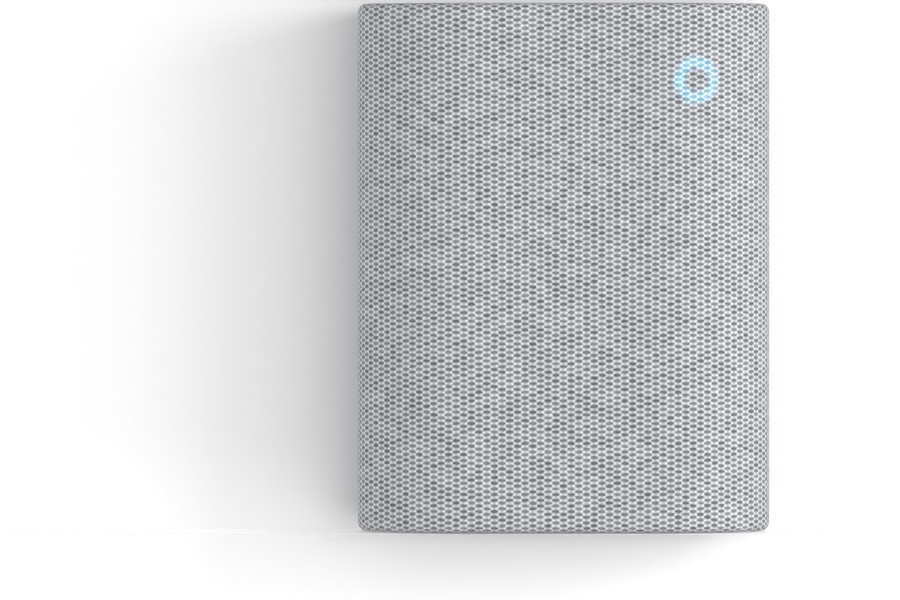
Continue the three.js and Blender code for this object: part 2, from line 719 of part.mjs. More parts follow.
// ---------------------------------------------------------------- electronics
function addElectronics() {
  const boardBack = CHASSIS_FRONT_Y - GAP;
  const boardFront = boardBack - BOARD_THICKNESS;
  const partFront = TUB_BACK_Y + GAP;
  const partBack = boardFront - GAP;
  addPart('main_board', facing(roundedRect(84, 68, 3, 0, 101), boardFront, boardBack), BOARD_FINISH);
  addPart('shield_can', facing(roundedRect(32, 26, 1, -16, 108), partFront, partBack), STEEL_FINISH);
  addPart('amp_board', facing(roundedRect(70, 22, 2, 0, 52), boardFront, boardBack), BOARD_FINISH);
  let spreader = facing(roundedRect(44, 15, 1, 0, 52), partFront, partBack);
  for (let groove = -3; groove <= 3; groove += 1) {
    const x = groove * 5.5;
    spreader = spreader.subtract(block(x - 1, x + 1, partFront - 1, partFront + 1, 40, 64));
  }
  addPart('heat_spreader', spreader, STEEL_FINISH);
  addPart('wifi_antenna', block(9, 28, partFront + 0.6, partFront + 1.4, 138, 145), COPPER_FINISH);

  // The flex leaves the rear edge of the top board and hangs down to the main board.
  const flexHalf = 6;
  const flexThickness = 0.4;
  const flexBack = 17.6;
  const flexTop = HEIGHT - TOP_BOARD_DEPTH - 0.5;
  const flexFront = 13.3;
  const flexBottom = 135.3;
  const flex = block(-flexHalf, flexHalf, flexFront, flexBack, flexTop - flexThickness, flexTop).add(
    block(-flexHalf, flexHalf, flexBack - flexThickness, flexBack, flexBottom, flexTop),
  );
  addPart('top_flex_cable', flex, FLEX_FINISH);
}

// ---------------------------------------------------------------- power inlet and rear controls
function addInlet() {
  const cupFloor = 14.5;
  const barrelOuter = 3.9;
  const barrelInner = 3.1;
  const cup = facing(inletOutline(INLET_WALL), cupFloor, CHASSIS_BACK_Y)
    .subtract(facing(inletOutline(0), cupFloor + INLET_WALL, CHASSIS_BACK_Y + 1))
    .subtract(facing(circle(barrelOuter + 0.4, 0, INLET_Z), cupFloor - 1, cupFloor + 2));
  addPart('inlet_cup', cup, PANEL_FINISH);

  const jackBack = cupFloor - GAP;
  const jackFront = 4.2;
  const jackHalf = 5.5;
  const pinRadius = 1;
  const body = block(-jackHalf, jackHalf, jackFront, jackBack, INLET_Z - jackHalf, INLET_Z + jackHalf);
  const jack = body
    .add(facing(circle(barrelOuter, 0, INLET_Z), jackBack - 1, cupFloor + 2))
    .subtract(facing(circle(barrelInner, 0, INLET_Z), jackFront + 2, cupFloor + 3))
    .add(facing(circle(pinRadius, 0, INLET_Z, 10), jackFront + 1, cupFloor + 1));
  addPart('dc_jack', jack, BLACK_PLASTIC_FINISH);

  // The lead leaves the top of the jack and rises behind the tub to the amplifier board.
  const leadPath = new THREE.CatmullRomCurve3([
    new THREE.Vector3(0, 8, INLET_Z + 5.9),
    new THREE.Vector3(0, 8.4, INLET_Z + 9),
    new THREE.Vector3(0, 11, INLET_Z + 12.6),
    new THREE.Vector3(0, 15.5, INLET_Z + 13.4),
    new THREE.Vector3(0, 18, INLET_Z + 15),
    new THREE.Vector3(0, 18.6, INLET_Z + 18.4),
  ]);
  const lead = new THREE.ExtrudeGeometry(circle(0.9, 0, 0, 8), {
    extrudePath: leadPath,
    steps: 14,
    bevelEnabled: false,
  });
  addPart('power_lead', toSolid(lead), BLACK_RUBBER_FINISH);
}

function addRearControls() {
  // The slider rests at the near end of its travel; its flange runs between chassis and panel.
  const switchFront = TUB_BACK_Y + GAP;
  const switchLow = CONTROL_Z - 3;
  const switchHigh = CONTROL_Z + 3;
  const sliderX = CONTROL_X - MUTE_TRAVEL / 2;
  const knobOutline = roundedRect(MUTE_KNOB_WIDTH, MUTE_KNOB_HEIGHT, 0.8, sliderX, CONTROL_Z);
  const slider = facing(knobOutline, CHASSIS_BACK_Y - 0.2, CONTROL_BACK_Y, 0.3)
    .add(facing(roundedRect(9, 5.4, 1, sliderX, CONTROL_Z), 22, CHASSIS_BACK_Y))
    .add(facing(circle(1.2, sliderX, CONTROL_Z, 12), 20.6, 22.5));
  addPart('mute_slider', slider, RUBBER_FINISH);
  const muteBody = block(CONTROL_X - 6.5, CONTROL_X + 6.5, switchFront, 20.2, switchLow, switchHigh);
  addPart('mute_switch', muteBody, BLACK_PLASTIC_FINISH);

  const stemRadius = 1.4;
  const stemFront = 20.9;
  const flangeFront = 22.2;
  const bevel = 0.4;
  const button = turned(
    [
      [0, stemFront],
      [stemRadius, stemFront],
      [stemRadius, flangeFront],
      [RESET_FLANGE_RADIUS, flangeFront],
      [RESET_FLANGE_RADIUS, CHASSIS_BACK_Y],
      [RESET_RADIUS, CHASSIS_BACK_Y],
      [RESET_RADIUS, CONTROL_BACK_Y - bevel],
      [RESET_RADIUS - bevel, CONTROL_BACK_Y],
      [0, CONTROL_BACK_Y],
    ],
    -CONTROL_X,
    CONTROL_Z,
  );
  addPart('reset_button', button, RUBBER_FINISH);
  const resetBody = block(-CONTROL_X - 3, -CONTROL_X + 3, switchFront, 19.9, switchLow, switchHigh);
  addPart('reset_switch', resetBody, BLACK_PLASTIC_FINISH);
}

function addRearPanel() {
  const panelBevel = 0.4;
  const fingerDepth = 0.8; // shallow recesses round the slider and the button
  const slotWidth = MUTE_KNOB_WIDTH + MUTE_TRAVEL + 2 * GAP;
  const slotHeight = MUTE_KNOB_HEIGHT + 2 * GAP;
  const entryRadius = 4.2; // a keyhole lets a screw's head in here and its shank slides up the neck
  const entryDrop = 4;
  const neckWidth = 4.6;
  const neckHeight = 12;
  const ventCount = 7;
  const ventPitch = 5;
  const ventWidth = 1.8;
  const ventHeight = 14;
  const ventZ = 86;
  const screwSeatRadius = 2.7;
  const screwSeatDepth = 1.3;

  const holes = [
    inletOutline(0),
    roundedRect(slotWidth, slotHeight, 1.1, CONTROL_X, CONTROL_Z),
    circle(RESET_RADIUS + 0.4, -CONTROL_X, CONTROL_Z),
  ];
  const recesses = [
    roundedRect(16, 8, 2, CONTROL_X, CONTROL_Z),
    circle(2 * RESET_RADIUS, -CONTROL_X, CONTROL_Z, 24),
  ];
  for (let vent = 0; vent < ventCount; vent += 1) {
    const x = (vent - (ventCount - 1) / 2) * ventPitch;
    holes.push(roundedRect(ventWidth, ventHeight, 0.85, x, ventZ, 1));
  }
  for (const side of [-1, 1]) {
    holes.push(circle(entryRadius, side * KEYHOLE_X, KEYHOLE_Z - entryDrop));
    holes.push(roundedRect(neckWidth, neckHeight, 2.2, side * KEYHOLE_X, KEYHOLE_Z + 1));
    for (const z of SCREW_ZS) {
      holes.push(circle(SCREW_HOLE, side * SCREW_X, z, 8));
    }
  }

  let panel = facing(panelOutline(0), PANEL_FRONT_Y, BACK_Y, panelBevel);
  for (const hole of holes) {
    panel = panel.subtract(facing(hole, PANEL_FRONT_Y - 1, BACK_Y + 1));
  }
  for (const recess of recesses) {
    panel = panel.subtract(facing(recess, BACK_Y - fingerDepth, BACK_Y + 1));
  }
  for (const side of [-1, 1]) {
    panel = panel.subtract(facing(headRoom(side), PANEL_FRONT_Y - 1, PANEL_FRONT_Y + 0.8));
    for (const z of SCREW_ZS) {
      const seat = circle(screwSeatRadius, side * SCREW_X, z, 12);
      panel = panel.subtract(facing(seat, BACK_Y - screwSeatDepth, BACK_Y + 1));
    }
  }
  addPart('rear_panel', panel, PANEL_FINISH);
}

function addRearScrews() {
  const headRadius = 2.3;
  const headFront = BACK_Y - 1;
  const headBack = BACK_Y - 0.2;
  const shankRadius = 1.1;
  const shankFront = 17.2;
  const crossReach = 1.4;
  const crossHalf = 0.3;
  const crossFront = headBack - 0.4;
  let number = 1;
  for (const side of [-1, 1]) {
    for (const z of SCREW_ZS) {
      const x = side * SCREW_X;
      const screw = facing(circle(headRadius, x, z, 12), headFront, headBack)
        .add(facing(circle(shankRadius, x, z, 8), shankFront, headFront + 0.1))
        .subtract(cross(x, z, crossReach, crossHalf, crossFront, BACK_Y));
      addPart(`rear_screw_${number}`, screw, STEEL_FINISH);
      number += 1;
    }
  }
}

addClothSleeve();
addShells();
addChassis();
addTop();
addBottom();
addRing();
addAcousticBox();
addWoofer();
addWooferScrews();
addTweeter();
addPassiveRadiator();
addElectronics();
addInlet();
addRearControls();
addRearPanel();
addRearScrews();

export default speaker;
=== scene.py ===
"""Looks for a cloth-wrapped smart speaker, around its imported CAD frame.

Metres, +Z up, and the front looks along -Y. The cloth and every other piece that shows outside are
fine pieces made here in place of plain CAD solids. Everything inside keeps its CAD shape.
"""
import json
import math

import bmesh
import bpy
import numpy as np
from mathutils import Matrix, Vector
from mathutils.geometry import tessellate_polygon


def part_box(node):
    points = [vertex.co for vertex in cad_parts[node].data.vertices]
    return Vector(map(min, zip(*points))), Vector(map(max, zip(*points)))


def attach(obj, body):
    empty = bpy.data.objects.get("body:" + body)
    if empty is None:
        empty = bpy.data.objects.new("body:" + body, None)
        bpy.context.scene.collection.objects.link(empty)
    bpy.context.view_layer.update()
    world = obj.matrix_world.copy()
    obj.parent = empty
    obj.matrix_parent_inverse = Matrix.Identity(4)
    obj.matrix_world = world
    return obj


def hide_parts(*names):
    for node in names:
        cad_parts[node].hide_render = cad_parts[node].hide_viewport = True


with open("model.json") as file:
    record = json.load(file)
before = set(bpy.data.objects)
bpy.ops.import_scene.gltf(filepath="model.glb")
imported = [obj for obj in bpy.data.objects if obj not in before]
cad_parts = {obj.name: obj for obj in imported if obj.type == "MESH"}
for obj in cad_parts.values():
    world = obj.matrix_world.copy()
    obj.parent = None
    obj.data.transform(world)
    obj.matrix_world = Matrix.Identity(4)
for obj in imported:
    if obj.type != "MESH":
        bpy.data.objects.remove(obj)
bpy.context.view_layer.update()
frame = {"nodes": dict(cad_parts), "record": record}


def mid(node):
    """The middle of a CAD node's box."""
    low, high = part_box(node)
    return (low + high) / 2


# ---- dimensions, in metres
MM = 0.001
SLEEVE_LOW, SLEEVE_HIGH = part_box("fabric_sleeve")
FRONT_RADIUS = 41.7 * MM
SIDE_RADIUS = 19.5 * MM
REAR_RADIUS = 20 * MM
EDGE_RADIUS = 2.4 * MM
ROLL = math.radians(45)  # the front radius runs through this angle, then the side radius takes over

HALF_WIDTH = SLEEVE_HIGH.x
FRONT_Y = SLEEVE_LOW.y
BACK_Y = SLEEVE_HIGH.y
BASE_Z = SLEEVE_LOW.z
TOP_Z = SLEEVE_HIGH.z
FRONT_FLAT = HALF_WIDTH - FRONT_RADIUS * math.sin(ROLL) - SIDE_RADIUS * (1 - math.sin(ROLL))
SIDE_CENTRE_X = HALF_WIDTH - SIDE_RADIUS
SIDE_CENTRE_Y = FRONT_Y + FRONT_RADIUS - (FRONT_RADIUS - SIDE_RADIUS) * math.cos(ROLL)
REAR_CENTRE_X = HALF_WIDTH - REAR_RADIUS
REAR_CENTRE_Y = BACK_Y - REAR_RADIUS

# Arc lengths round the section, from the middle of the front to each change of curve.
AT_ROLL = FRONT_FLAT
AT_SIDE = AT_ROLL + FRONT_RADIUS * ROLL
AT_STRAIGHT = AT_SIDE + SIDE_RADIUS * (math.pi / 2 - ROLL)
AT_REAR = AT_STRAIGHT + REAR_CENTRE_Y - SIDE_CENTRE_Y
AT_BACK = AT_REAR + REAR_RADIUS * math.pi / 2
HALF_GIRTH = AT_BACK + REAR_CENTRE_X

CLOTH_LIP = 4.2 * MM  # the cloth turns in this far over the two ends
TUCK = 1.4 * MM  # and then down into the groove round the end cap
TUCK_SLOPE = 0.25  # inwards for each metre down
WEAVE_COLUMN = 2.295 * MM
WEAVE_ROW = 0.85 * MM
WEAVE_DEPTH = 0.07 * MM

RING = mid("ring_diffuser")
RING_INNER = 3.7 * MM
RING_OUTER = 6.95 * MM

PANEL_LOW, PANEL_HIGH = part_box("rear_panel")
PANEL_SIZE = PANEL_HIGH - PANEL_LOW
PANEL_CORNER = 12 * MM
PANEL_GAP = 0.3 * MM
PANEL_Z = (PANEL_LOW.z + PANEL_HIGH.z) / 2


# ---- the body's section
def section(along):
    """Points and outward normals of the section at arc lengths from the middle of the front."""
    s = np.abs(along)
    roll = (s - AT_ROLL) / FRONT_RADIUS
    side = ROLL + (s - AT_SIDE) / SIDE_RADIUS
    rear = math.pi / 2 + (s - AT_REAR) / REAR_RADIUS
    where = [s <= AT_ROLL, s <= AT_SIDE, s <= AT_STRAIGHT, s <= AT_REAR, s <= AT_BACK, s > AT_BACK]
    one = np.ones_like(s)
    x = np.select(where, [
        s,
        FRONT_FLAT + FRONT_RADIUS * np.sin(roll),
        SIDE_CENTRE_X + SIDE_RADIUS * np.sin(side),
        HALF_WIDTH * one,
        REAR_CENTRE_X + REAR_RADIUS * np.sin(rear),
        REAR_CENTRE_X - (s - AT_BACK),
    ])
    y = np.select(where, [
        FRONT_Y * one,
        FRONT_Y + FRONT_RADIUS * (1 - np.cos(roll)),
        SIDE_CENTRE_Y - SIDE_RADIUS * np.cos(side),
        SIDE_CENTRE_Y + s - AT_STRAIGHT,
        REAR_CENTRE_Y - REAR_RADIUS * np.cos(rear),
        BACK_Y * one,
    ])
    turn = np.select(where, [0 * one, roll, side, math.pi / 2 * one, rear, math.pi * one])
    hand = np.where(along < 0, -1.0, 1.0)
    return np.stack([x * hand, y], 1), np.stack([np.sin(turn) * hand, -np.cos(turn)], 1)


def body_outline(inset, step=1.2 * MM):
    """The section as a loop of 2-D points, drawn inset from the cloth, anticlockwise from above."""
    count = 2 * round(HALF_GIRTH / step)
    along = -HALF_GIRTH + 2 * HALF_GIRTH * np.arange(count) / count
    points, normals = section(along)
    return points - normals * inset


# ---- outlines and plates
def arc(centre, radius, start, end, steps):
    """Points on an arc from start to end, in degrees."""
    turn = np.radians(np.linspace(start, end, steps + 1))
    return np.stack([centre[0] + radius * np.cos(turn), centre[1] + radius * np.sin(turn)], 1)


def circle(centre, radius, steps=48):
    return arc(centre, radius, 0, 360, steps)[:-1]


def rounded_rect(centre, width, height, radius, steps=10):
    dx, dy = width / 2 - radius, height / 2 - radius
    x, y = centre
    return np.concatenate([
        arc((x + dx, y - dy), radius, -90, 0, steps),
        arc((x + dx, y + dy), radius, 0, 90, steps),
        arc((x - dx, y + dy), radius, 90, 180, steps),
        arc((x - dx, y - dy), radius, 180, 270, steps),
    ])


def racetrack(centre, width, height, steps=24):
    """An outline with round ends, longer than it is high."""
    reach = width / 2 - height / 2
    x, y = centre
    return np.concatenate([
        arc((x + reach, y), height / 2, -90, 90, steps),
        arc((x - reach, y), height / 2, 90, 270, steps),
    ])


def upright(outline):
    """An outline with its two axes swapped, still anticlockwise."""
    return outline[::-1, ::-1]


def keyhole(centre, entry_radius, neck_radius, neck_rise):
    """A round entry with a narrower slot that runs up from it."""
    x, z = centre
    meet = math.degrees(math.asin(neck_radius / entry_radius))
    return np.concatenate([
        arc((x, z), entry_radius, 90 + meet, 450 - meet, 40),
        arc((x, z + neck_rise), neck_radius, 0, 180, 16),
    ])


# ---- pieces
def new_piece(name, vertices, faces, flat=None, smooth_degrees=40):
    """A mesh object; flat lists, face by face, which ones are shaded flat."""
    mesh = bpy.data.meshes.new(name)
    mesh.from_pydata([tuple(v) for v in vertices], [], [tuple(f) for f in faces])
    mesh.set_sharp_from_angle(angle=math.radians(smooth_degrees))
    if flat:
        mesh.polygons.foreach_set("use_smooth", [not face for face in flat])
    mesh.validate()
    piece = bpy.data.objects.new(name, mesh)
    bpy.context.scene.collection.objects.link(piece)
    return piece


def inward(loop, distance):
    """A loop moved to its left by distance, which is into the material."""
    ahead = np.roll(loop, -1, 0) - loop
    ahead /= np.linalg.norm(ahead, axis=1)[:, None]
    behind = np.roll(ahead, 1, 0)
    left = np.stack([-(ahead + behind)[:, 1], (ahead + behind)[:, 0]], 1)
    return loop + distance * left / (1 + (ahead * behind).sum(1))[:, None]


def plate(name, outer, holes, low, high, edge, facing="z", edge_steps=4, hole_edge=None):
    """A plate between two heights with rounded edges and any number of holes.

    facing "z" takes outlines in x and y, and "y" takes them in x and z with the face to the back.
    """
    turn = np.linspace(0, math.pi / 2, edge_steps + 1)
    loops = [(outer, edge)] + [(hole[::-1], hole_edge or edge) for hole in holes]
    vertices, faces, ends = [], [], ([], [])
    for loop, rounding in loops:
        bottom = [(rounding * (1 - math.sin(t)), low + rounding * (1 - math.cos(t))) for t in turn]
        levels = bottom + [(inset, high + low - height) for inset, height in reversed(bottom)]
        start, count = len(vertices), len(loop)
        for inset, height in levels:
            ring = inward(loop, inset)
            vertices += [(x, y, height) for x, y in ring]
        for level in range(len(levels) - 1):
            a = start + level * count
            for i in range(count):
                j = (i + 1) % count
                faces.append((a + i, a + j, a + count + j, a + count + i))
        ends[0].append(list(range(start, start + count)))
        last = start + (len(levels) - 1) * count
        ends[1].append(list(range(last, last + count)))
    for side, rings in enumerate(ends):
        flat = [[Vector((*vertices[i][:2], 0)) for i in ring] for ring in rings]
        order = [i for ring in rings for i in ring]
        for triangle in tessellate_polygon(flat):
            a, b, c = (order[i] for i in triangle)
            (ax, ay), (bx, by), (cx, cy) = (vertices[i][:2] for i in (a, b, c))
            up = (bx - ax) * (cy - ay) - (by - ay) * (cx - ax) > 0
            faces.append((a, b, c) if up == (side == 1) else (a, c, b))
    if facing == "y":
        vertices = [(x, height, z) for x, z, height in vertices]
        faces = [face[::-1] for face in faces]
    return new_piece(name, vertices, faces, [len(face) == 3 for face in faces])


def sink(piece, outline, low, high, edge, facing="y"):
    """Cuts a plate of this outline out of a closed piece."""
    cutter = plate("cutter", outline, [], low, high, edge, facing)
    modifier = piece.modifiers.new("cut", "BOOLEAN")
    modifier.operation = "DIFFERENCE"
    modifier.solver = "EXACT"
    modifier.object = cutter
    graph = bpy.context.evaluated_depsgraph_get()
    mesh = bpy.data.meshes.new_from_object(piece.evaluated_get(graph))
    piece.modifiers.clear()
    piece.data = mesh
    bpy.data.objects.remove(cutter)


def joined(name, pieces):
    """One piece made of several."""
    vertices, faces, flat = [], [], []
    for piece in pieces:
        start = len(vertices)
        vertices += [tuple(v.co) for v in piece.data.vertices]
        faces += [tuple(start + i for i in polygon.vertices) for polygon in piece.data.polygons]
        flat += [not polygon.use_smooth for polygon in piece.data.polygons]
        bpy.data.objects.remove(piece)
    return new_piece(name, vertices, faces, flat)


def turned(name, profile, centre, steps=48):
    """A profile of (radius, y) points turned about the Y axis through centre = (x, z)."""
    vertices, faces = [], []
    count = len(profile)
    for x, z in circle((0, 0), 1, steps):
        vertices += [(centre[0] + radius * x, y, centre[1] + radius * z) for radius, y in profile]
    for i in range(steps):
        j = (i + 1) % steps
        for k in range(count - 1):
            faces.append((i * count + k, i * count + k + 1, j * count + k + 1, j * count + k))
    piece = new_piece(name, vertices, faces)
    # The vertices on the axis lie in one place, so they are merged.
    work = bmesh.new()
    work.from_mesh(piece.data)
    bmesh.ops.remove_doubles(work, verts=work.verts, dist=0.001 * MM)
    bmesh.ops.dissolve_degenerate(work, edges=work.edges, dist=0.0001 * MM)
    work.to_mesh(piece.data)
    work.free()
    return piece


def swept(name, path, radius, sides=8, closed=True):
    """A round bead along a path of 3-D points."""
    path = np.array(path)
    ahead = np.roll(path, -1, 0) - np.roll(path, 1, 0)
    if not closed:
        ahead[0], ahead[-1] = path[1] - path[0], path[-1] - path[-2]
    ahead /= np.linalg.norm(ahead, axis=1)[:, None]
    side = np.cross(ahead, (0, 1, 0))
    side /= np.linalg.norm(side, axis=1)[:, None]
    up = np.cross(side, ahead)
    turn = 2 * math.pi * np.arange(sides) / sides
    rings = [path + radius * (math.cos(t) * side + math.sin(t) * up) for t in turn]
    vertices = np.stack(rings, 1).reshape(-1, 3)
    faces = []
    count = len(path)
    for i in range(count if closed else count - 1):
        j = (i + 1) % count
        for k in range(sides):
            m = (k + 1) % sides
            faces.append((i * sides + k, j * sides + k, j * sides + m, i * sides + m))
    if not closed:
        faces.append(tuple(range(sides)))
        faces.append(tuple(reversed(range((count - 1) * sides, count * sides))))
    return new_piece(name, vertices, faces, smooth_degrees=80)


# ---- materials
COOL = (0.965, 0.985, 1.03)  # the faint blue cast of every grey


def grey(level, tint=(1.0, 1.0, 1.0)):
    """An opaque colour of this level."""
    return (level * tint[0], level * tint[1], level * tint[2], 1.0)


class Shader:
    """Builds one node material with short calls."""

    def __init__(self, name):
        self.material = bpy.data.materials.new(name)
        self.material.use_nodes = True
        self.tree = self.material.node_tree
        self.tree.nodes.clear()
        self.surface = self.add("ShaderNodeBsdfPrincipled")
        self.output = self.add("ShaderNodeOutputMaterial", {"Surface": self.surface.outputs[0]})

    def feed(self, socket, value):
        """Links a socket to another's output, or sets its value."""
        if isinstance(value, bpy.types.NodeSocket):
            self.tree.links.new(value, socket)
        else:
            socket.default_value = value

    def add(self, kind, values=None, **settings):
        """A node with some inputs fed and some settings made."""
        node = self.tree.nodes.new(kind)
        for key, value in settings.items():
            setattr(node, key, value)
        for socket, value in (values or {}).items():
            self.feed(node.inputs[socket], value)
        return node

    def math(self, operation, a, b=0.0, clamp=False):
        values = {0: a} if operation in ("FLOOR", "COSINE", "ABSOLUTE", "SQRT") else {0: a, 1: b}
        return self.add("ShaderNodeMath", values, operation=operation, use_clamp=clamp).outputs[0]

    def plus(self, a, b):
        return self.math("ADD", a, b)

    def minus(self, a, b):
        return self.math("SUBTRACT", a, b)

    def times(self, a, b):
        return self.math("MULTIPLY", a, b)

    def ease(self, value, start, end, low=0.0, high=1.0):
        """low where value is at start or before it, high past end, and a smooth step between."""
        values = {"Value": value, "From Min": start, "From Max": end, "To Min": low, "To Max": high}
        return self.add("ShaderNodeMapRange", values, interpolation_type="SMOOTHSTEP").outputs[0]

    def mix(self, factor, a, b):
        """Colour a where the factor is 0, and b where it is 1."""
        return self.add("ShaderNodeMix", {0: factor, 6: a, 7: b}, data_type="RGBA").outputs[2]

    def axes(self, vector):
        return self.add("ShaderNodeSeparateXYZ", {0: vector}).outputs

    def tinted(self, level):
        """A cool grey of a level that varies over the surface."""
        channels = {i: self.times(level, tint) for i, tint in enumerate(COOL)}
        return self.add("ShaderNodeCombineColor", channels).outputs[0]

    def noise(self, vector, scale, detail=2.0, roughness=0.5):
        values = {"Vector": vector, "Scale": scale, "Detail": detail, "Roughness": roughness}
        return self.add("ShaderNodeTexNoise", values).outputs["Fac"]

    def place(self):
        """The point's place on the object, in metres."""
        return self.add("ShaderNodeTexCoord").outputs["Object"]

    def stretched(self, vector, scale):
        return self.add("ShaderNodeMapping", {"Vector": vector, "Scale": scale}).outputs[0]

    def bump(self, height, distance, strength=1.0):
        values = {"Height": height, "Distance": distance, "Strength": strength}
        self.feed(self.surface.inputs["Normal"], self.add("ShaderNodeBump", values).outputs[0])

    def set(self, **sockets):
        """Feeds the surface's sockets, named with underscores for spaces."""
        for name, value in sockets.items():
            self.feed(self.surface.inputs[name.replace("_", " ")], value)


# The knit, in units of its own columns and rows; each scale is of a noise, per metre.
WANDER = 0.16  # how far the columns stray from straight
WANDER_SCALE = 160.0
UNEVEN_ACROSS = 0.4  # how uneven each float's ends are, and then its long edges
UNEVEN_UP = 0.6
UNEVEN_SCALE = 900.0
FIBRE_SCALE = 2600.0
COLUMN_START = 0.28
ROW_START = 0.3
FLOAT_HALF_HEIGHT = 0.63
FLOAT_POINTED = 0.84 * math.pi  # a higher number makes the floats shorter, with sharper ends

# Its colours, as levels of grey; the crown's level is a painted highlight.
DARK_LEVEL = 0.06
DARK_SPREAD = 0.1  # from one float to the next
FLECK_LEVEL = 0.2  # pale fibres along the middle of a float
PALE_LEVEL = 0.37
PALE_SPREAD = 0.09
# Painted highlight where the pale yarns cross and stand highest.
CROWN_HIGHLIGHT_LEVEL = 0.28  # where the pale yarns cross, and stand highest
# The level of grey that the cloth turns to over its rolled edges.
HEM_LEVEL = 0.25
FIBRES_IN_EDGE = 0.3  # how far loose fibres blur the floats' edges

RING_COLOUR = (0.09, 0.58, 0.87, 1.0)
RING_STRENGTH = 0.62
THROUGH_DARK = 0.85  # the share of the ring's light that comes through a float, and then the net
THROUGH_PALE = 0.72


def knit(shader, along, up, weave):
    """The knit's own coordinates: across and up from the middle of a float, and each cell's chance."""
    wander = shader.noise(shader.stretched(weave, (1, 1, 0)), WANDER_SCALE, 1.0)
    uneven = shader.axes(shader.add("ShaderNodeTexNoise", {
        "Vector": shader.stretched(weave, (1, 2.2, 0)),
        "Scale": UNEVEN_SCALE,
        "Detail": 1.0,
    }).outputs["Color"])
    column = shader.math("DIVIDE", along, WEAVE_COLUMN)
    column = shader.plus(column, shader.times(wander, WANDER))
    column = shader.plus(column, shader.times(uneven[0], UNEVEN_ACROSS))
    column = shader.minus(column, COLUMN_START)
    row = shader.math("DIVIDE", up, WEAVE_ROW)
    row = shader.plus(row, shader.times(uneven[1], UNEVEN_UP))
    row = shader.minus(row, ROW_START)

    # Floats stand in every second row of a column, and beside the gaps of the next column.
    column_cell = shader.math("FLOOR", shader.plus(column, 0.5))
    across = shader.minus(column, column_cell)
    pair = shader.minus(row, column_cell)
    pair = shader.times(shader.minus(pair, 1.0), 0.5)
    pair_cell = shader.math("FLOOR", shader.plus(pair, 0.5))
    rise = shader.times(shader.minus(pair, pair_cell), 2.0)
    rise = shader.math("ABSOLUTE", rise)
    cell = shader.add("ShaderNodeCombineXYZ", {0: column_cell, 1: pair_cell}).outputs[0]
    chances = shader.add("ShaderNodeTexWhiteNoise", {"Vector": cell}, noise_dimensions="3D").outputs
    return across, rise, chances["Value"]


def ring_glow(shader, along, up):
    """1 over the ring behind the cloth, falling softly to 0 on both sides of it."""
    ring_turn = math.atan2(RING.x - FRONT_FLAT, FRONT_Y + FRONT_RADIUS - RING.y)
    ring_along = AT_ROLL + FRONT_RADIUS * ring_turn
    dx = shader.minus(along, ring_along)
    dz = shader.minus(up, RING.z)
    squares = shader.plus(shader.times(dx, dx), shader.times(dz, dz))
    radius = shader.math("SQRT", squares)
    return shader.times(
        shader.ease(radius, RING_INNER - 1.2 * MM, RING_INNER + 1.3 * MM),
        shader.ease(radius, RING_OUTER + 1.4 * MM, RING_OUTER - 1.4 * MM),
    )


def cloth_material():
    """Two-tone knit: dark lens-shaped floats in a pale net, lit from behind at the ring."""
    shader = Shader("woven_cloth")
    weave = shader.add("ShaderNodeAttribute", attribute_name="weave").outputs["Vector"]
    along, up, hem = shader.axes(weave)
    across, rise, chance = knit(shader, along, up, weave)
    fibres = shader.noise(shader.stretched(weave, (1, 3, 1)), FIBRE_SCALE, 2.0, 0.6)

    lens = shader.math("COSINE", shader.times(across, FLOAT_POINTED))
    lens = shader.minus(rise, shader.times(lens, FLOAT_HALF_HEIGHT))
    across = shader.math("ABSOLUTE", across)
    fleck = shader.times(shader.ease(rise, 0.34, 0.0), shader.ease(across, 0.4, 0.05))
    fleck = shader.times(fleck, shader.times(fibres, FLECK_LEVEL))
    dark = shader.plus(shader.times(chance, DARK_SPREAD), fleck)
    dark = shader.plus(dark, DARK_LEVEL)
    # Painted highlight: the pale net is lighter between the floats, where its yarns cross and stand
    # highest.
    crown_highlight = shader.times(shader.ease(rise, 0.5, 1.0), shader.ease(across, 0.02, 0.36))
    pale = shader.plus(shader.times(chance, PALE_SPREAD), PALE_LEVEL)
    pale = shader.plus(pale, shader.times(crown_highlight, CROWN_HIGHLIGHT_LEVEL))
    lightness = shader.ease(lens, -0.4, 0.2)
    lightness = shader.plus(lightness, shader.times(fibres, FIBRES_IN_EDGE))
    lightness = shader.math("SUBTRACT", lightness, FIBRES_IN_EDGE / 2, clamp=True)
    colour = shader.mix(lightness, shader.tinted(dark), shader.tinted(pale))
    # The cloth turns a darker grey over its rolled edges at the top and bottom, and over the rear hem.
    hem_shade = shader.times(shader.ease(hem, 0.0, 1.0), 0.45)
    colour = shader.mix(hem_shade, colour, grey(HEM_LEVEL, COOL))
    through = shader.ease(lightness, 0.0, 1.0, THROUGH_DARK, THROUGH_PALE)
    through = shader.times(through, RING_STRENGTH)
    shader.set(
        Base_Color=colour,
        Roughness=0.92,
        Sheen_Weight=0.12,
        Sheen_Roughness=0.5,
        Specular_IOR_Level=0.2,
        Emission_Color=RING_COLOUR,
        Emission_Strength=shader.times(ring_glow(shader, along, up), through),
    )
    relief = shader.plus(lightness, shader.times(fibres, 0.5))
    shader.bump(relief, 0.1 * MM, 0.7)
    return shader.material


def plastic_material(name, level, roughness, grain=0.02, grain_scale=2600.0):
    """Moulded plastic with a fine spark-eroded grain and faint flow marks."""
    shader = Shader(name)
    place = shader.place()
    mottle = shader.noise(place, 60.0, 3.0)
    fine = shader.noise(place, grain_scale, 2.0)
    colour = shader.mix(mottle, grey(level * 0.93, COOL), grey(level * 1.05, COOL))
    shader.set(
        Base_Color=colour,
        Roughness=shader.ease(fine, 0.3, 0.7, roughness - 0.06, roughness + 0.06),
    )
    shader.bump(fine, grain * MM, 0.6)
    return shader.material


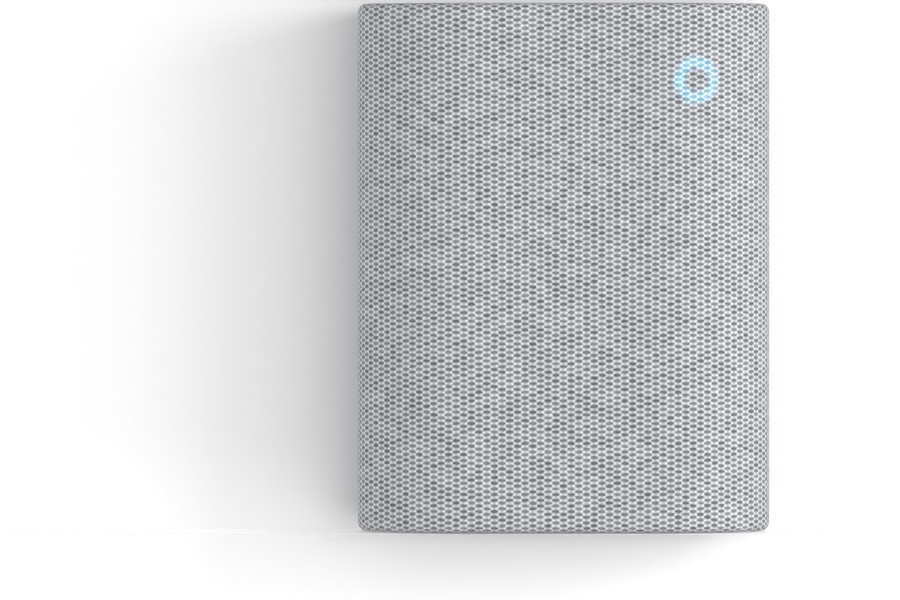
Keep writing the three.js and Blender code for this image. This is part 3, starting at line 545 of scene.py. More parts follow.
def rubber_material(name, level):
    """Matt silicone with dust-fine pores."""
    shader = Shader(name)
    place = shader.place()
    pores = shader.noise(place, 3800.0, 3.0, 0.65)
    bloom = shader.noise(place, 90.0, 2.0)
    colour = shader.mix(bloom, grey(level * 0.9, COOL), grey(level * 1.12, COOL))
    shader.set(Base_Color=colour, Roughness=shader.ease(bloom, 0.2, 0.8, 0.72, 0.86))
    shader.bump(pores, 0.03 * MM, 0.5)
    return shader.material


def metal_material(name, colour, roughness, brushed=(1, 1, 1)):
    """Plated or brushed metal: fine scratches along one way."""
    shader = Shader(name)
    scratches = shader.noise(shader.stretched(shader.place(), brushed), 900.0, 3.0, 0.6)
    dull, bright = [(*(c * k for c in colour), 1.0) for k in (0.82, 1.08)]
    shader.set(
        Base_Color=shader.mix(scratches, dull, bright),
        Metallic=1.0,
        Roughness=shader.ease(scratches, 0.25, 0.75, roughness - 0.08, roughness + 0.1),
    )
    shader.bump(scratches, 0.01 * MM, 0.4)
    return shader.material


def diffuser_material():
    """Frosted light guide that glows, a little unevenly."""
    shader = Shader("frosted_diffuser")
    frost = shader.noise(shader.place(), 2200.0, 2.0)
    shader.set(
        Base_Color=shader.mix(frost, (0.5, 0.85, 0.96, 1.0), (0.62, 0.93, 1.0, 1.0)),
        Roughness=0.55,
        Emission_Color=(0.25, 0.8, 1.0, 1.0),
        Emission_Strength=shader.ease(frost, 0.2, 0.8, 0.7, 1.0),
    )
    shader.bump(frost, 0.02 * MM, 0.5)
    return shader.material


def board_material():
    """Green solder mask over faint copper tracks."""
    shader = Shader("solder_mask")
    place = shader.place()
    tracks = shader.add("ShaderNodeTexBrick", {
        "Vector": place,
        "Color1": (0.012, 0.1, 0.04, 1.0),
        "Color2": (0.016, 0.13, 0.05, 1.0),
        "Mortar": (0.03, 0.2, 0.08, 1.0),
        "Scale": 160.0,
        "Mortar Size": 0.03,
    })
    gloss = shader.noise(place, 300.0, 2.0)
    shader.set(Base_Color=tracks.outputs["Color"], Roughness=shader.ease(gloss, 0.2, 0.8, 0.3, 0.45))
    shader.bump(tracks.outputs["Fac"], 0.03 * MM, 0.4)
    return shader.material


def woven_material(name, colour, pitch):
    """Small plain weave for the spider and the tweeter's dome, with painted shade where the weave dips.
    """
    shader = Shader(name)
    axes = shader.axes(shader.place())
    waves = [shader.math("COSINE", shader.times(axes[i], math.pi / pitch)) for i in (0, 2)]
    checks = shader.times(*waves)
    # Painted shade: a darker copy of the colour where the weave's bump dips.
    dark = (*(c * 0.6 for c in colour), 1.0)
    yarns = shader.mix(shader.ease(checks, -0.5, 0.5), dark, (*colour, 1.0))
    shader.set(Base_Color=yarns, Roughness=0.85)
    shader.bump(checks, 0.08 * MM, 0.8)
    return shader.material


def foam_material():
    """Open-cell foam: small pits between pale walls, with painted shade making the pits dark."""
    shader = Shader("open_cell_foam")
    cells = shader.add("ShaderNodeTexVoronoi", {"Vector": shader.place(), "Scale": 900.0})
    pits = shader.ease(cells.outputs["Distance"], 0.1, 0.6)
    # Painted shade: the pits are coloured darker than the cell walls.
    shader.set(Base_Color=shader.mix(pits, grey(0.03), grey(0.13)), Roughness=1.0)
    shader.bump(pits, 0.3 * MM)
    return shader.material


def fibre_material():
    """Pressed fibre for the cones: short pale hairs in a dark felt."""
    shader = Shader("pressed_fibre")
    hairs = shader.noise(shader.stretched(shader.place(), (1, 1, 3)), 1500.0, 4.0, 0.7)
    shader.set(Base_Color=shader.mix(hairs, grey(0.012), grey(0.05, COOL)), Roughness=0.88)
    shader.bump(hairs, 0.06 * MM, 0.6)
    return shader.material


MATERIALS = {
    "cloth": cloth_material(),
    "dark_plastic": plastic_material("dark_plastic", 0.04, 0.5),
    "light_plastic": plastic_material("light_plastic", 0.42, 0.42),
    "panel_plastic": plastic_material("panel_plastic", 0.33, 0.5, 0.04, 1900.0),
    "grey_rubber": rubber_material("grey_rubber", 0.24),
    "black_rubber": rubber_material("black_rubber", 0.014),
    "diffuser": diffuser_material(),
    "circuit_board": board_material(),
    "steel": metal_material("zinc_steel", (0.56, 0.57, 0.59), 0.32, (1, 1, 6)),
    "magnet": plastic_material("ferrite", 0.025, 0.4, 0.05, 1200.0),
    "copper": metal_material("copper", (0.72, 0.33, 0.16), 0.35, (1, 8, 1)),
    "cone": fibre_material(),
    "spider": woven_material("resin_weave", (0.5, 0.33, 0.1), 0.5 * MM),
    "silk": woven_material("coated_silk", (0.04, 0.042, 0.05), 0.25 * MM),
    "foam": foam_material(),
}


def finish_piece(piece, slot, body, *stands_for):
    """Gives a piece its material, its body and the CAD nodes that it stands for."""
    piece.data.materials.clear()
    piece.data.materials.append(MATERIALS[slot])
    if stands_for:
        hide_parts(*stands_for)
    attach(piece, body)
    return piece


def paint_cad_nodes():
    """Gives every CAD node the material that its record names."""
    slots = {part["node"]: part["material_slot"] for part in frame["record"]["subparts"]}
    for name, node in frame["nodes"].items():
        node.data.materials.clear()
        node.data.materials.append(MATERIALS[slots[name]])


# ---- the cloth
def cloth_profile():
    """Rows up the sleeve: inset from the outer face, height, outward tilt, arc length and hem."""
    rows = []
    flat = CLOTH_LIP - EDGE_RADIUS
    quarter = EDGE_RADIUS * math.pi / 2
    reach = (TOP_Z - BASE_Z) / 2 - EDGE_RADIUS
    hem_start = reach + 0.35 * quarter
    hem_width = 0.5 * quarter
    # One half of the profile, from mid height to the end of the tuck, used both ways up.
    for length in np.arange(0, reach + quarter + flat + TUCK, WEAVE_ROW / 2):
        if length <= reach:
            inset, rise, lean = 0.0, length, 0.0
        elif length <= reach + quarter:
            lean = (length - reach) / EDGE_RADIUS
            inset = EDGE_RADIUS * (1 - math.cos(lean))
            rise = reach + EDGE_RADIUS * math.sin(lean)
        elif length <= reach + quarter + flat:
            lean = math.pi / 2
            inset = EDGE_RADIUS + length - reach - quarter
            rise = reach + EDGE_RADIUS
        else:
            lean = math.pi / 2
            depth = length - reach - quarter - flat
            inset = CLOTH_LIP + TUCK_SLOPE * depth
            rise = reach + EDGE_RADIUS - depth
        hem = max(0.0, min(1.0, (length - hem_start) / hem_width))
        rows.append((inset, rise, lean, length, hem))
    upper = np.array(rows)
    lower = upper[:0:-1] * (1, -1, -1, -1, 1)
    return np.concatenate([lower, upper])


def panel_opening(grow=0.0, steps=40):
    """The outline of the rear panel's opening in the cloth, grown by a distance."""
    past = PANEL_GAP + grow
    size = (PANEL_SIZE.x + 2 * past, PANEL_SIZE.z + 2 * past)
    return rounded_rect((0, PANEL_Z), *size, PANEL_CORNER + past, steps)


def outside_opening(vertices):
    """How far each vertex lies outside the panel's opening; less than 0 is inside it."""
    dx = np.abs(vertices[:, 0]) - (PANEL_SIZE.x / 2 - PANEL_CORNER)
    dz = np.abs(vertices[:, 2] - PANEL_Z) - (PANEL_SIZE.z / 2 - PANEL_CORNER)
    past_corner = np.hypot(np.maximum(dx, 0), np.maximum(dz, 0))
    return past_corner + np.minimum(np.maximum(dx, dz), 0) - PANEL_CORNER - PANEL_GAP


def cloth_grid(along, profile):
    """The sleeve's vertices, row by row, with the weave as relief."""
    points, normals = section(along)
    middle = (TOP_Z + BASE_Z) / 2
    inset, rise, lean, length, hem = profile.T
    up = np.cos(math.pi * (length + middle) / WEAVE_ROW)
    weave = np.outer(up, np.cos(math.pi * along / WEAVE_COLUMN))
    relief = WEAVE_DEPTH * (weave - 1) * (1 - 0.6 * hem)[:, None]
    out = np.cos(lean)[:, None] * relief - inset[:, None]
    x = points[:, 0] + normals[:, 0] * out
    y = points[:, 1] + normals[:, 1] * out
    z = middle + rise[:, None] + np.sin(lean)[:, None] * relief
    return np.stack([x, y, z], 2).reshape(-1, 3)


def make_cloth():
    """The sleeve as one open sheet, joined at the middle of the back, open at the rear panel."""
    profile = cloth_profile()
    half_columns = int(HALF_GIRTH / (WEAVE_COLUMN / 2))
    along = np.arange(-half_columns, half_columns + 1) * WEAVE_COLUMN / 2
    along = np.concatenate([[-HALF_GIRTH], along, [HALF_GIRTH]])
    vertices = cloth_grid(along, profile)
    columns, rows = len(along), len(profile)
    index = np.arange(rows * columns).reshape(rows, columns)
    corners = [index[:-1, :-1], index[:-1, 1:], index[1:, 1:], index[1:, :-1]]
    faces = np.stack(corners, 2).reshape(-1, 4)

    # Faces inside the opening go, and the rim that they leave is drawn onto its outline.
    at_back = vertices[:, 1] > BACK_Y - 1 * MM
    faces = faces[~(at_back[faces].all(1) & (outside_opening(vertices)[faces].mean(1) < 0))]
    counts = np.bincount(faces.ravel(), minlength=len(vertices))
    inner = np.zeros((rows, columns), bool)
    inner[1:-1, 1:-1] = True
    outline = panel_opening()
    ahead = np.roll(outline, -1, 0) - outline
    rim_points = np.concatenate([outline + ahead * t for t in np.linspace(0, 1, 200, endpoint=False)])
    for i in np.flatnonzero((counts > 0) & (counts < 4) & inner.ravel() & at_back):
        nearest = np.argmin(((rim_points - vertices[i, [0, 2]]) ** 2).sum(1))
        vertices[i, [0, 2]] = rim_points[nearest]

    used = np.flatnonzero(counts)
    renumber = np.full(len(vertices), -1)
    renumber[used] = np.arange(len(used))
    cloth = new_piece("fabric_cloth", vertices[used], renumber[faces].tolist(), smooth_degrees=180)
    length, hem = profile[:, 3], profile[:, 4]
    place_weave(cloth, np.stack([
        np.tile(along, rows),
        np.repeat(length + (TOP_Z + BASE_Z) / 2, columns),
        np.repeat(hem, columns),
    ], 1)[used])
    return cloth


def place_weave(piece, placed):
    """Stores where each vertex lies on the cloth: along it, up it, and how far into a hem."""
    attribute = piece.data.attributes.new("weave", "FLOAT_VECTOR", "POINT")
    attribute.data.foreach_set("vector", placed.astype(np.float32).ravel())


def add_cloth():
    cloth = finish_piece(make_cloth(), "cloth", "enclosure", "fabric_sleeve")


# ---- the two ends
CAP_INSET = 4.7 * MM
CAP_THICKNESS = 2 * MM
CAP_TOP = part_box("top_cap")[1].z
CAP_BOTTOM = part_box("bottom_cap")[0].z
FLANGE_INSET = 3.9 * MM
RIM_INSET = 6.4 * MM  # the inner side of the skirt and the flange round a cap
RIM_DEPTH = 3 * MM
KEY_SIZE = (18 * MM, 8 * MM)
KEY_CLEARANCE = 0.35 * MM
KEY_COLLAR = 1.2 * MM  # the collar under the cap is this much wider all round
MARK_LENGTH = 3.4 * MM
MARK_WIDTH = 0.7 * MM
MIC_HOLE = 0.6 * MM
PAD_INSET = 8.5 * MM
PAD_RIM = 2 * MM
STUD_PITCH = 4 * MM
STUD_RADIUS = 0.9 * MM


def cap_rim(face, tip, into):
    """The flange and the skirt behind a cap's face; into is 1 where the cap reaches up, or -1."""
    flange = sorted((tip, face + into * (RIM_DEPTH - 0.1 * MM)))
    skirt = sorted((face + into * RIM_DEPTH, face + into * 1 * MM))
    hollow = [body_outline(RIM_INSET)]
    return [
        plate("flange", body_outline(FLANGE_INSET), hollow, *flange, 0.2 * MM),
        plate("skirt", body_outline(CAP_INSET + 0.05 * MM), hollow, *skirt, 0.02 * MM),
    ]


def add_top():
    length, width = (side + 2 * KEY_CLEARANCE for side in KEY_SIZE)
    holes = [racetrack(mid(key)[:2], length, width) for key in ("volume_up_key", "volume_down_key")]
    holes += [circle(mid(mic)[:2], MIC_HOLE, 20) for mic in ("microphone_left", "microphone_right")]
    outline = body_outline(CAP_INSET)
    cap = plate("cap", outline, holes, CAP_TOP - CAP_THICKNESS, CAP_TOP, 0.45 * MM, hole_edge=0.2 * MM)
    rim = cap_rim(CAP_TOP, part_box("top_cap")[0].z, -1)
    finish_piece(joined("top_plate", [cap, *rim]), "light_plastic", "enclosure", "top_cap")
    add_key("volume_up_key", "volume_up", True)
    add_key("volume_down_key", "volume_down", False)


def add_key(node, body, plus):
    """A pill-shaped key with a sunk plus or minus mark, on a collar and a stem."""
    x, y = mid(node)[:2]
    low, top = (corner.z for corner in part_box(node))
    length, width = KEY_SIZE
    outline = racetrack((x, y), length, width)
    key = plate("key", outline, [], top - 3 * MM, top, 0.9 * MM, edge_steps=6)
    bars = [(MARK_LENGTH, MARK_WIDTH), (MARK_WIDTH, MARK_LENGTH)]
    for across, up in bars if plus else bars[:1]:
        mark = rounded_rect((x, y), across, up, 0.34 * MM, 6)
        sink(key, mark, top - 0.35 * MM, top + 1 * MM, 0.01 * MM, "z")
    collar_top = top - 2.3 * MM
    outline = racetrack((x, y), length + 2 * KEY_COLLAR, width + 2 * KEY_COLLAR)
    collar = plate("collar", outline, [], collar_top - 1.3 * MM, collar_top, 0.1 * MM)
    stem = plate("stem", circle((x, y), 2 * MM, 24), [], low, collar_top, 0.1 * MM)
    finish_piece(joined(node + "_cap", [key, collar, stem]), "light_plastic", body, node)


def add_bottom():
    foot_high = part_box("foot_pad")[1].z
    cap_high = CAP_BOTTOM + CAP_THICKNESS
    hollow = [body_outline(PAD_INSET - 0.3 * MM)]
    cap = plate("cap", body_outline(CAP_INSET), hollow, CAP_BOTTOM, cap_high, 0.4 * MM)
    recess = body_outline(PAD_INSET - 0.5 * MM)
    bed = plate("bed", recess, [], foot_high + 0.3 * MM, cap_high, 0.02 * MM)
    rim = cap_rim(CAP_BOTTOM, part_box("bottom_cap")[1].z, 1)
    plastic = joined("bottom_plate", [cap, bed, *rim])
    finish_piece(plastic, "light_plastic", "enclosure", "bottom_cap")
    add_foot()


def add_foot():
    """The foot pad, with a raised rim and staggered rows of small studs."""
    low, high = (corner.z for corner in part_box("foot_pad"))
    outline = body_outline(PAD_INSET)
    inner = body_outline(PAD_INSET + PAD_RIM)
    pieces = [
        plate("pad", outline, [], low + 0.3 * MM, high, 0.2 * MM),
        plate("rim", outline, [inner], low, high - 0.2 * MM, 0.25 * MM),
    ]
    field = body_outline(PAD_INSET + PAD_RIM + 1.6 * MM)
    half_x, low_y, high_y = field[:, 0].max(), field[:, 1].min(), field[:, 1].max()
    for i in range(int(2 * half_x / STUD_PITCH) + 1):
        for j in range(int((high_y - low_y) / STUD_PITCH) + 1):
            x = (i - int(half_x / STUD_PITCH)) * STUD_PITCH
            y = low_y + (j + 0.5 * (i % 2)) * STUD_PITCH
            if inside(field, x, y):
                stud = circle((x, y), STUD_RADIUS, 12)
                pieces.append(plate("stud", stud, [], low, high - 0.3 * MM, 0.2 * MM, edge_steps=2))
    finish_piece(joined("foot_pad_moulded", pieces), "grey_rubber", "enclosure", "foot_pad")


def inside(outline, x, y):
    """Whether a point is inside an outline."""
    ahead = np.roll(outline, -1, 0)
    cross = (outline[:, 1] > y) != (ahead[:, 1] > y)
    rise = np.where(cross, ahead[:, 1] - outline[:, 1], 1)
    meets = outline[:, 0] + (y - outline[:, 1]) * (ahead[:, 0] - outline[:, 0]) / rise
    return (cross & (x < meets)).sum() % 2 == 1


# ---- the rear panel
SCREWS = [f"rear_screw_{i}" for i in range(1, 5)]
SCREW_HOLE = 1.5 * MM
SCREW_BORE = 2.7 * MM  # the counterbore that the head sits in
SCREW_HEAD = 2.3 * MM
SCREW_SHANK = 1.05 * MM
SCREW_PITCH = 0.8 * MM
INLET_SIZE = (30 * MM, 18 * MM)  # inside the recess
INLET_WALL = 1.5 * MM
INLET_CORNER = 1.6 * MM
SOCKET_NOSE = 3.9 * MM
SOCKET_BORE = 3.1 * MM
MUTE_KNOB = (5.8 * MM, 3.4 * MM)
MUTE_SLOT = (9.4 * MM, 4 * MM)
RESET_RADIUS = 2.5 * MM
KEYHOLE_X = 22 * MM
KEYHOLE_Z = 118 * MM
KEYHOLE_FORM = (4.2 * MM, 2.3 * MM, 8.7 * MM)  # the entry's radius, the neck's, and the neck's rise
VENT_Z = 86 * MM
VENT_SIZE = (14 * MM, 1.8 * MM)
VENT_COUNT = 7
VENT_PITCH = 5 * MM
CONTROL_RECESS = 0.8 * MM
GAP = 0.3 * MM  # between the panel or the inlet and what lies behind it


def mid_xz(node):
    """The middle of a CAD node's box, in x and z."""
    centre = mid(node)
    return centre.x, centre.z


INLET = mid_xz("inlet_cup")
MUTE = mid_xz("mute_switch")
RESET = mid_xz("reset_button")


def panel_holes():
    holes = [
        rounded_rect(INLET, *INLET_SIZE, INLET_CORNER),
        rounded_rect(MUTE, *MUTE_SLOT, 1.2 * MM),
        circle(RESET, RESET_RADIUS + 0.4 * MM, 40),
    ]
    for side in (-1, 1):
        holes.append(keyhole((side * KEYHOLE_X, KEYHOLE_Z), *KEYHOLE_FORM))
    vent = upright(racetrack((0, 0), *VENT_SIZE, 10))
    for i in range(VENT_COUNT):
        x = (i - (VENT_COUNT - 1) / 2) * VENT_PITCH
        holes.append(vent + (x, VENT_Z))
    holes += [circle(mid_xz(screw), SCREW_HOLE, 24) for screw in SCREWS]
    return holes


def add_rear_panel():
    outline = rounded_rect((0, PANEL_Z), PANEL_SIZE.x, PANEL_SIZE.z, PANEL_CORNER, 24)
    low, high = PANEL_LOW.y, PANEL_HIGH.y
    edge, hole_edge = 0.5 * MM, 0.3 * MM
    panel = plate("rear_panel_moulded", outline, panel_holes(), low, high, edge, "y", hole_edge=hole_edge)
    past = high + 1 * MM
    for recess in (rounded_rect(MUTE, 16 * MM, 8 * MM, 2 * MM), circle(RESET, 5 * MM, 56)):
        sink(panel, recess, high - CONTROL_RECESS, past, 0.3 * MM)
    for screw in SCREWS:
        sink(panel, circle(mid_xz(screw), SCREW_BORE, 40), high - 1.3 * MM, past, 0.1 * MM)
    finish_piece(panel, "panel_plastic", "enclosure", "rear_panel")
    add_rear_hem()


def add_rear_hem():
    """The cloth's edge, rolled into a hem round the panel, with the weave running along it."""
    loop = dense(panel_opening(0.35 * MM, 24), 0.5 * MM)
    sides = 10
    hem = swept("rear_hem", [(x, BACK_Y - 0.36 * MM, z) for x, z in loop], 0.42 * MM, sides)
    run = np.concatenate([[0], np.cumsum(np.linalg.norm(np.diff(loop, axis=0), axis=1))])
    place_weave(hem, np.stack([
        np.repeat(run, sides),
        np.tile(np.arange(sides) * WEAVE_ROW / 2, len(loop)),
        np.full(len(loop) * sides, 0.6),
    ], 1))
    finish_piece(hem, "cloth", "enclosure")


def dense(loop, step):
    """A closed loop with points no further apart than step."""
    points = []
    for a, b in zip(loop, np.roll(loop, -1, 0)):
        count = max(1, math.ceil(np.linalg.norm(b - a) / step))
        points += [a + (b - a) * i / count for i in range(count)]
    return np.array(points)


STITCH_PITCH = 2.2 * MM
STITCH_RADIUS = 0.14 * MM
STITCH_OUT = 1.1 * MM  # from the seam's middle to each row of stitches
LAP_RADIUS = 0.24 * MM


def stitch(x, z):
    """One stitch up the cloth, whose ends dive into it."""
    rise = np.linspace(-0.4, 0.4, 7)
    path = [(x, BACK_Y - 0.02 * MM - 0.5 * MM * (2 * t) ** 4, z + t * STITCH_PITCH) for t in rise]
    return swept("stitch", path, STITCH_RADIUS, 6, closed=False)


def add_back_seam():
    """A lapped seam closes the sleeve at the middle of the back, above and below the panel."""
    spans = [
        (BASE_Z + EDGE_RADIUS, PANEL_LOW.z - 1.4 * MM),
        (PANEL_HIGH.z + 1.4 * MM, TOP_Z - EDGE_RADIUS),
    ]
    for number, (low, high) in enumerate(spans, 1):
        count = int((high - low) / STITCH_PITCH)
        heights = [low + (i + 0.5) * (high - low) / count for i in range(count)]
        pieces = [stitch(side * STITCH_OUT, z) for side in (-1, 1) for z in heights]
        lap = [(0, BACK_Y - 0.22 * MM, z) for z in np.linspace(low, high, 30)]
        pieces.append(swept("lap", lap, LAP_RADIUS, 8, closed=False))
        finish_piece(joined(f"back_seam_{number}", pieces), "grey_rubber", "enclosure")


def add_inlet():
    """The recess for the plug, and the socket and its pin in the middle of it."""
    low, high = (corner.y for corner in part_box("inlet_cup"))
    outer = [side + 2 * INLET_WALL for side in INLET_SIZE]
    cup = plate("inlet_recess", rounded_rect(INLET, *outer, 2.6 * MM), [], low, high, 0.2 * MM, "y")
    hollow = rounded_rect(INLET, *INLET_SIZE, INLET_CORNER)
    sink(cup, hollow, low + INLET_WALL, high + 2 * MM, 0.8 * MM)
    sink(cup, circle(INLET, 4.3 * MM), low - 1 * MM, low + 3 * MM, 0.1 * MM)
    finish_piece(cup, "panel_plastic", "enclosure", "inlet_cup")

    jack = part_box("dc_jack")[0].y
    mouth = low + 2 * MM
    bore = circle(INLET, SOCKET_BORE)
    block = rounded_rect(INLET, 11 * MM, 11 * MM, 0.8 * MM)
    body = plate("body", block, [], jack, low - GAP, 0.3 * MM, "y")
    nose = plate("nose", circle(INLET, SOCKET_NOSE), [bore], low - 0.5 * MM, mouth, 0.25 * MM, "y")
    sink(body, bore, jack + 2 * MM, mouth + 1 * MM, 0.1 * MM)
    finish_piece(joined("power_socket", [body, nose]), "dark_plastic", "enclosure", "dc_jack")
    pin = [
        (0, mouth - 0.9 * MM),
        (0.5 * MM, mouth - 1.0 * MM),
        (0.85 * MM, mouth - 1.4 * MM),
        (0.9 * MM, mouth - 2 * MM),
        (0.9 * MM, jack + 2.5 * MM),
    ]
    finish_piece(turned("power_pin", pin, INLET, 28), "steel", "enclosure")


def add_mute_knob():
    """A ribbed knob on a base behind the panel, with a pin to the switch."""
    low, high = (corner.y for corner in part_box("mute_slider"))
    centre = mid_xz("mute_slider")
    outline = rounded_rect(centre, *MUTE_KNOB, 0.9 * MM)
    knob = plate("knob", outline, [], high - 2.4 * MM, high, 0.35 * MM, "y")
    for i in range(-2, 3):
        place = (centre[0] + i * 0.95 * MM, centre[1])
        groove = rounded_rect(place, 0.42 * MM, 2.5 * MM, 0.2 * MM, 4)
        sink(knob, groove, high - 0.35 * MM, high + 1 * MM, 0.01 * MM)
    outline = rounded_rect(centre, 9 * MM, 5.4 * MM, 1 * MM)
    base = plate("base", outline, [], low + 1.4 * MM, PANEL_LOW.y - GAP, 0.1 * MM, "y")
    pin = plate("pin", circle(centre, 1.2 * MM, 24), [], low, low + 1.6 * MM, 0.1 * MM, "y")
    finish_piece(joined("mute_knob", [knob, base, pin]), "grey_rubber", "mute", "mute_slider")


def add_reset_cap():
    """A round button with a stem, a flange behind the panel and a dished face."""
    low, high = (corner.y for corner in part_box("reset_button"))
    stem, flange = 1.4 * MM, 3.5 * MM
    edge = 0.5 * MM
    dish = 0.12 * MM
    profile = [
        (0, low),
        (stem, low),
        (stem, low + 1.3 * MM),
        (flange, low + 1.3 * MM),
        (flange, PANEL_LOW.y - GAP),
        (RESET_RADIUS, PANEL_LOW.y - GAP),
    ]
    profile += [
        (RESET_RADIUS - edge * (1 - math.cos(t)), high - 0.2 * MM - edge * (1 - math.sin(t)))
        for t in np.linspace(0, math.pi / 2, 6)
    ]
    profile += [(r * MM, high - 0.2 * MM - dish * (1 - (r / 2) ** 2)) for r in (1.6, 1.2, 0.8, 0.4, 0)]
    finish_piece(turned("reset_cap", profile, RESET), "grey_rubber", "reset", "reset_button")


def add_screw(node):
    """A pan-head screw along Y with a cross recess and a threaded shank."""
    tip, top = (corner.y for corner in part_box(node))
    centre = mid_xz(node)
    under = top - 0.8 * MM
    head = plate("head", circle(centre, SCREW_HEAD, 36), [], under, top, 0.28 * MM, "y")
    for width, height in ((0.6 * MM, 2.7 * MM), (2.7 * MM, 0.6 * MM)):
        slot = rounded_rect(centre, width, height, 0.2 * MM, 4)
        sink(head, slot, top - 0.45 * MM, top + 1 * MM, 0.01 * MM)
    profile = [(0, under + 0.3 * MM), (SCREW_SHANK, under + 0.3 * MM)]
    for i in range(int((under - tip) / SCREW_PITCH)):
        y = under - i * SCREW_PITCH
        profile += [(SCREW_SHANK, y), (SCREW_SHANK - 0.22 * MM, y - SCREW_PITCH / 2)]
    profile += [(0.3 * MM, tip), (0, tip)]
    shank = turned("shank", profile, centre, 16)
    finish_piece(joined(node + "_fine", [head, shank]), "steel", "enclosure", node)


# ---- stage, light and camera
VIEW_DISTANCE = 3.262  # from the camera to the widest section of the body
VIEW_WIDTH = 0.2712  # what the picture's width takes in at that distance
CAMERA_HEIGHT = 0.1057 + BASE_Z
AIM_LEFT = 0.0342  # the picture's centre passes this far to the left of the body's middle
AIM_DOWN = 0.0363  # and this far below the camera


def aimed(name, data, location, target):
    """A camera or a lamp that looks at a target."""
    thing = bpy.data.objects.new(name, data)
    thing.location = location
    thing.rotation_euler = (Vector(target) - thing.location).to_track_quat("-Z", "Y").to_euler()
    bpy.context.scene.collection.objects.link(thing)
    return thing


def add_camera():
    data = bpy.data.cameras.new("camera")
    data.sensor_width = 36.0
    data.lens = data.sensor_width * VIEW_DISTANCE / VIEW_WIDTH
    # The photograph shows no floor in front of the body, so the camera clips it away.
    data.clip_start = VIEW_DISTANCE + FRONT_Y - 2.5 * MM
    data.clip_end = 40.0
    target = (-AIM_LEFT, 0, CAMERA_HEIGHT - AIM_DOWN)
    bpy.context.scene.camera = aimed("camera", data, (0, -VIEW_DISTANCE, CAMERA_HEIGHT), target)


def stage_plane(name, corners, material):
    """A plane that only the camera sees: it throws no light or shade on the body."""
    plane = new_piece(name, corners, [(0, 1, 2, 3)])
    plane.data.materials.append(material)
    for rays in ("diffuse", "glossy", "transmission", "shadow"):
        setattr(plane, "visible_" + rays, False)


# The stage's glow is painted light, in shares of white. Distances are in metres from the middle of the
# base.
FAR_GLOW = 0.7
NEAR, FAR = 0.3, 1.5  # it grows between these distances
WALL_FOOT_GLOW = 0.08
WALL_LEFT_GLOW = 0.05
FLOOR_LEFT_GLOW = 0.41
FLOOR_MIDDLE_GLOW = 0.2
FLOOR_RIGHT_GLOW = 0.23
FLOOR_FRONT_SHARE = 0.7  # of the glow by the wall


def far_glow(shader):
    """Keeps the stage white far from the body, where the lights fall off."""
    distance = shader.add("ShaderNodeVectorMath", {0: shader.place()}, operation="LENGTH")
    return shader.ease(distance.outputs["Value"], NEAR, FAR, 0.0, FAR_GLOW)


def floor_glow(shader):
    """Painted light that makes the floor as bright as the wall where they meet, on both sides of the
    body.
    """
    axes = shader.axes(shader.place())
    left = shader.ease(axes["X"], -0.115, -0.05, FLOOR_LEFT_GLOW, FLOOR_MIDDLE_GLOW)
    right = shader.ease(axes["X"], -0.06, 0.06, 0.0, FLOOR_RIGHT_GLOW)
    by_wall = shader.ease(axes["Y"], -0.06, 0.01, FLOOR_FRONT_SHARE, 1.0)
    near = shader.times(shader.plus(left, right), by_wall)
    return shader.plus(near, far_glow(shader))


def wall_glow(shader):
    """Painted light that brightens the wall and lifts its shade below the floor's level, just above it on
    the left, and at the far left.
    """
    axes = shader.axes(shader.place())
    below = shader.ease(axes["Z"], 0.0, -0.006, 0.0, WALL_FOOT_GLOW)
    above = shader.ease(axes["Z"], 0.035, -0.002, 0.0, WALL_FOOT_GLOW)
    left = shader.ease(axes["X"], -0.06, -0.08)
    foot = shader.math("MAXIMUM", below, shader.times(above, left))
    far_left = shader.ease(axes["X"], -0.1, -0.14, 0.0, WALL_LEFT_GLOW)
    return shader.plus(shader.plus(foot, far_left), far_glow(shader))


def stage_material(name, glow, one_sided=False):
    """Plain pale paint with a barely visible tooth and a glow of painted light; the wall shows only from
    its front.
    """
    shader = Shader(name)
    tooth = shader.noise(shader.place(), 400.0, 2.0)
    shader.set(
        Base_Color=shader.mix(tooth, grey(0.79), grey(0.81)),
        Roughness=0.9,
        Specular_IOR_Level=0.0,
        Emission_Color=grey(1.0),
        Emission_Strength=glow(shader),
    )
    if one_sided:
        clear = shader.add("ShaderNodeBsdfTransparent").outputs[0]
        behind = shader.add("ShaderNodeNewGeometry").outputs["Backfacing"]
        pick = shader.add("ShaderNodeMixShader", {0: behind, 1: shader.surface.outputs[0], 2: clear})
        shader.feed(shader.output.inputs["Surface"], pick.outputs[0])
    return shader.material


STAGE_REACH = 30.0
WALL_LOW = -2.0  # the camera sees the wall below the floor, whose front is clipped away


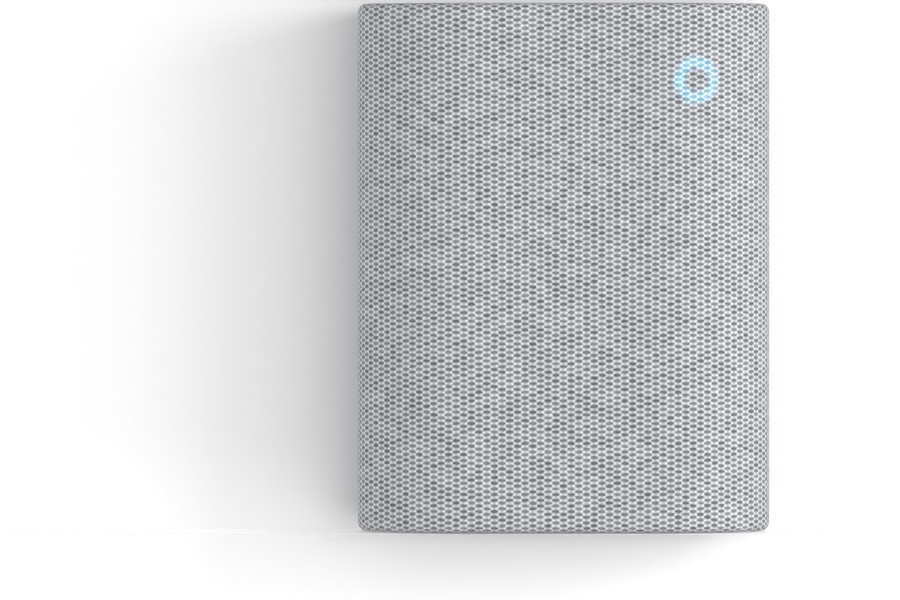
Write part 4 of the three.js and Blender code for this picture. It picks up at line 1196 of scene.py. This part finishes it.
def add_stage():
    wall_y = BACK_Y + 0.3 * MM
    wall = [(-1, WALL_LOW), (1, WALL_LOW), (1, STAGE_REACH), (-1, STAGE_REACH)]
    wall = [(side * STAGE_REACH, wall_y, z) for side, z in wall]
    floor = [(-1, -1), (1, -1), (1, 1), (-1, 1)]
    floor = [(x * STAGE_REACH, y * STAGE_REACH, 0) for x, y in floor]
    stage_plane("wall", wall, stage_material("wall_paint", wall_glow, one_sided=True))
    stage_plane("floor", floor, stage_material("floor_paint", floor_glow))


# Square soft boxes, all aimed at the body: name, place, side and power in watts.
LAMPS = [
    ("key", (1.36, -0.8, 0.3), 0.7, 14.5),
    ("fill", (0.75, -1.8, -0.1), 1.8, 23.5),
    ("side", (-1.9, -0.12, 0.08), 0.8, 14),
    ("back", (0.1, 1.8, 0.25), 1.2, 12),
]
STUDIO_COLOUR = (0.985, 0.99, 1.0, 1.0)
STUDIO_LIGHT = 0.58  # how strongly the studio lights the body, where it looks white at 1


def add_light(name, location, side, power):
    data = bpy.data.lights.new(name, "AREA")
    data.shape = "SQUARE"
    data.size = side
    data.energy = power
    light = aimed(name, data, location, (0, 0, (BASE_Z + TOP_Z) / 2))
    light.visible_camera = False


def add_lights():
    world = bpy.data.worlds.new("studio")
    world.use_nodes = True
    nodes, links = world.node_tree.nodes, world.node_tree.links
    background = nodes["Background"]
    background.inputs["Color"].default_value = STUDIO_COLOUR
    rays = nodes.new("ShaderNodeLightPath")
    strength = nodes.new("ShaderNodeMapRange")
    strength.inputs["To Min"].default_value = STUDIO_LIGHT
    strength.inputs["To Max"].default_value = 1.0
    links.new(rays.outputs["Is Camera Ray"], strength.inputs["Value"])
    links.new(strength.outputs[0], background.inputs["Strength"])
    bpy.context.scene.world = world
    bpy.context.scene.view_settings.view_transform = "Standard"
    for lamp in LAMPS:
        add_light(*lamp)


add_camera()
add_stage()
add_lights()
paint_cad_nodes()
add_cloth()
add_top()
add_bottom()
add_rear_panel()
add_back_seam()
add_inlet()
add_mute_knob()
add_reset_cap()
for screw in SCREWS:
    add_screw(screw)
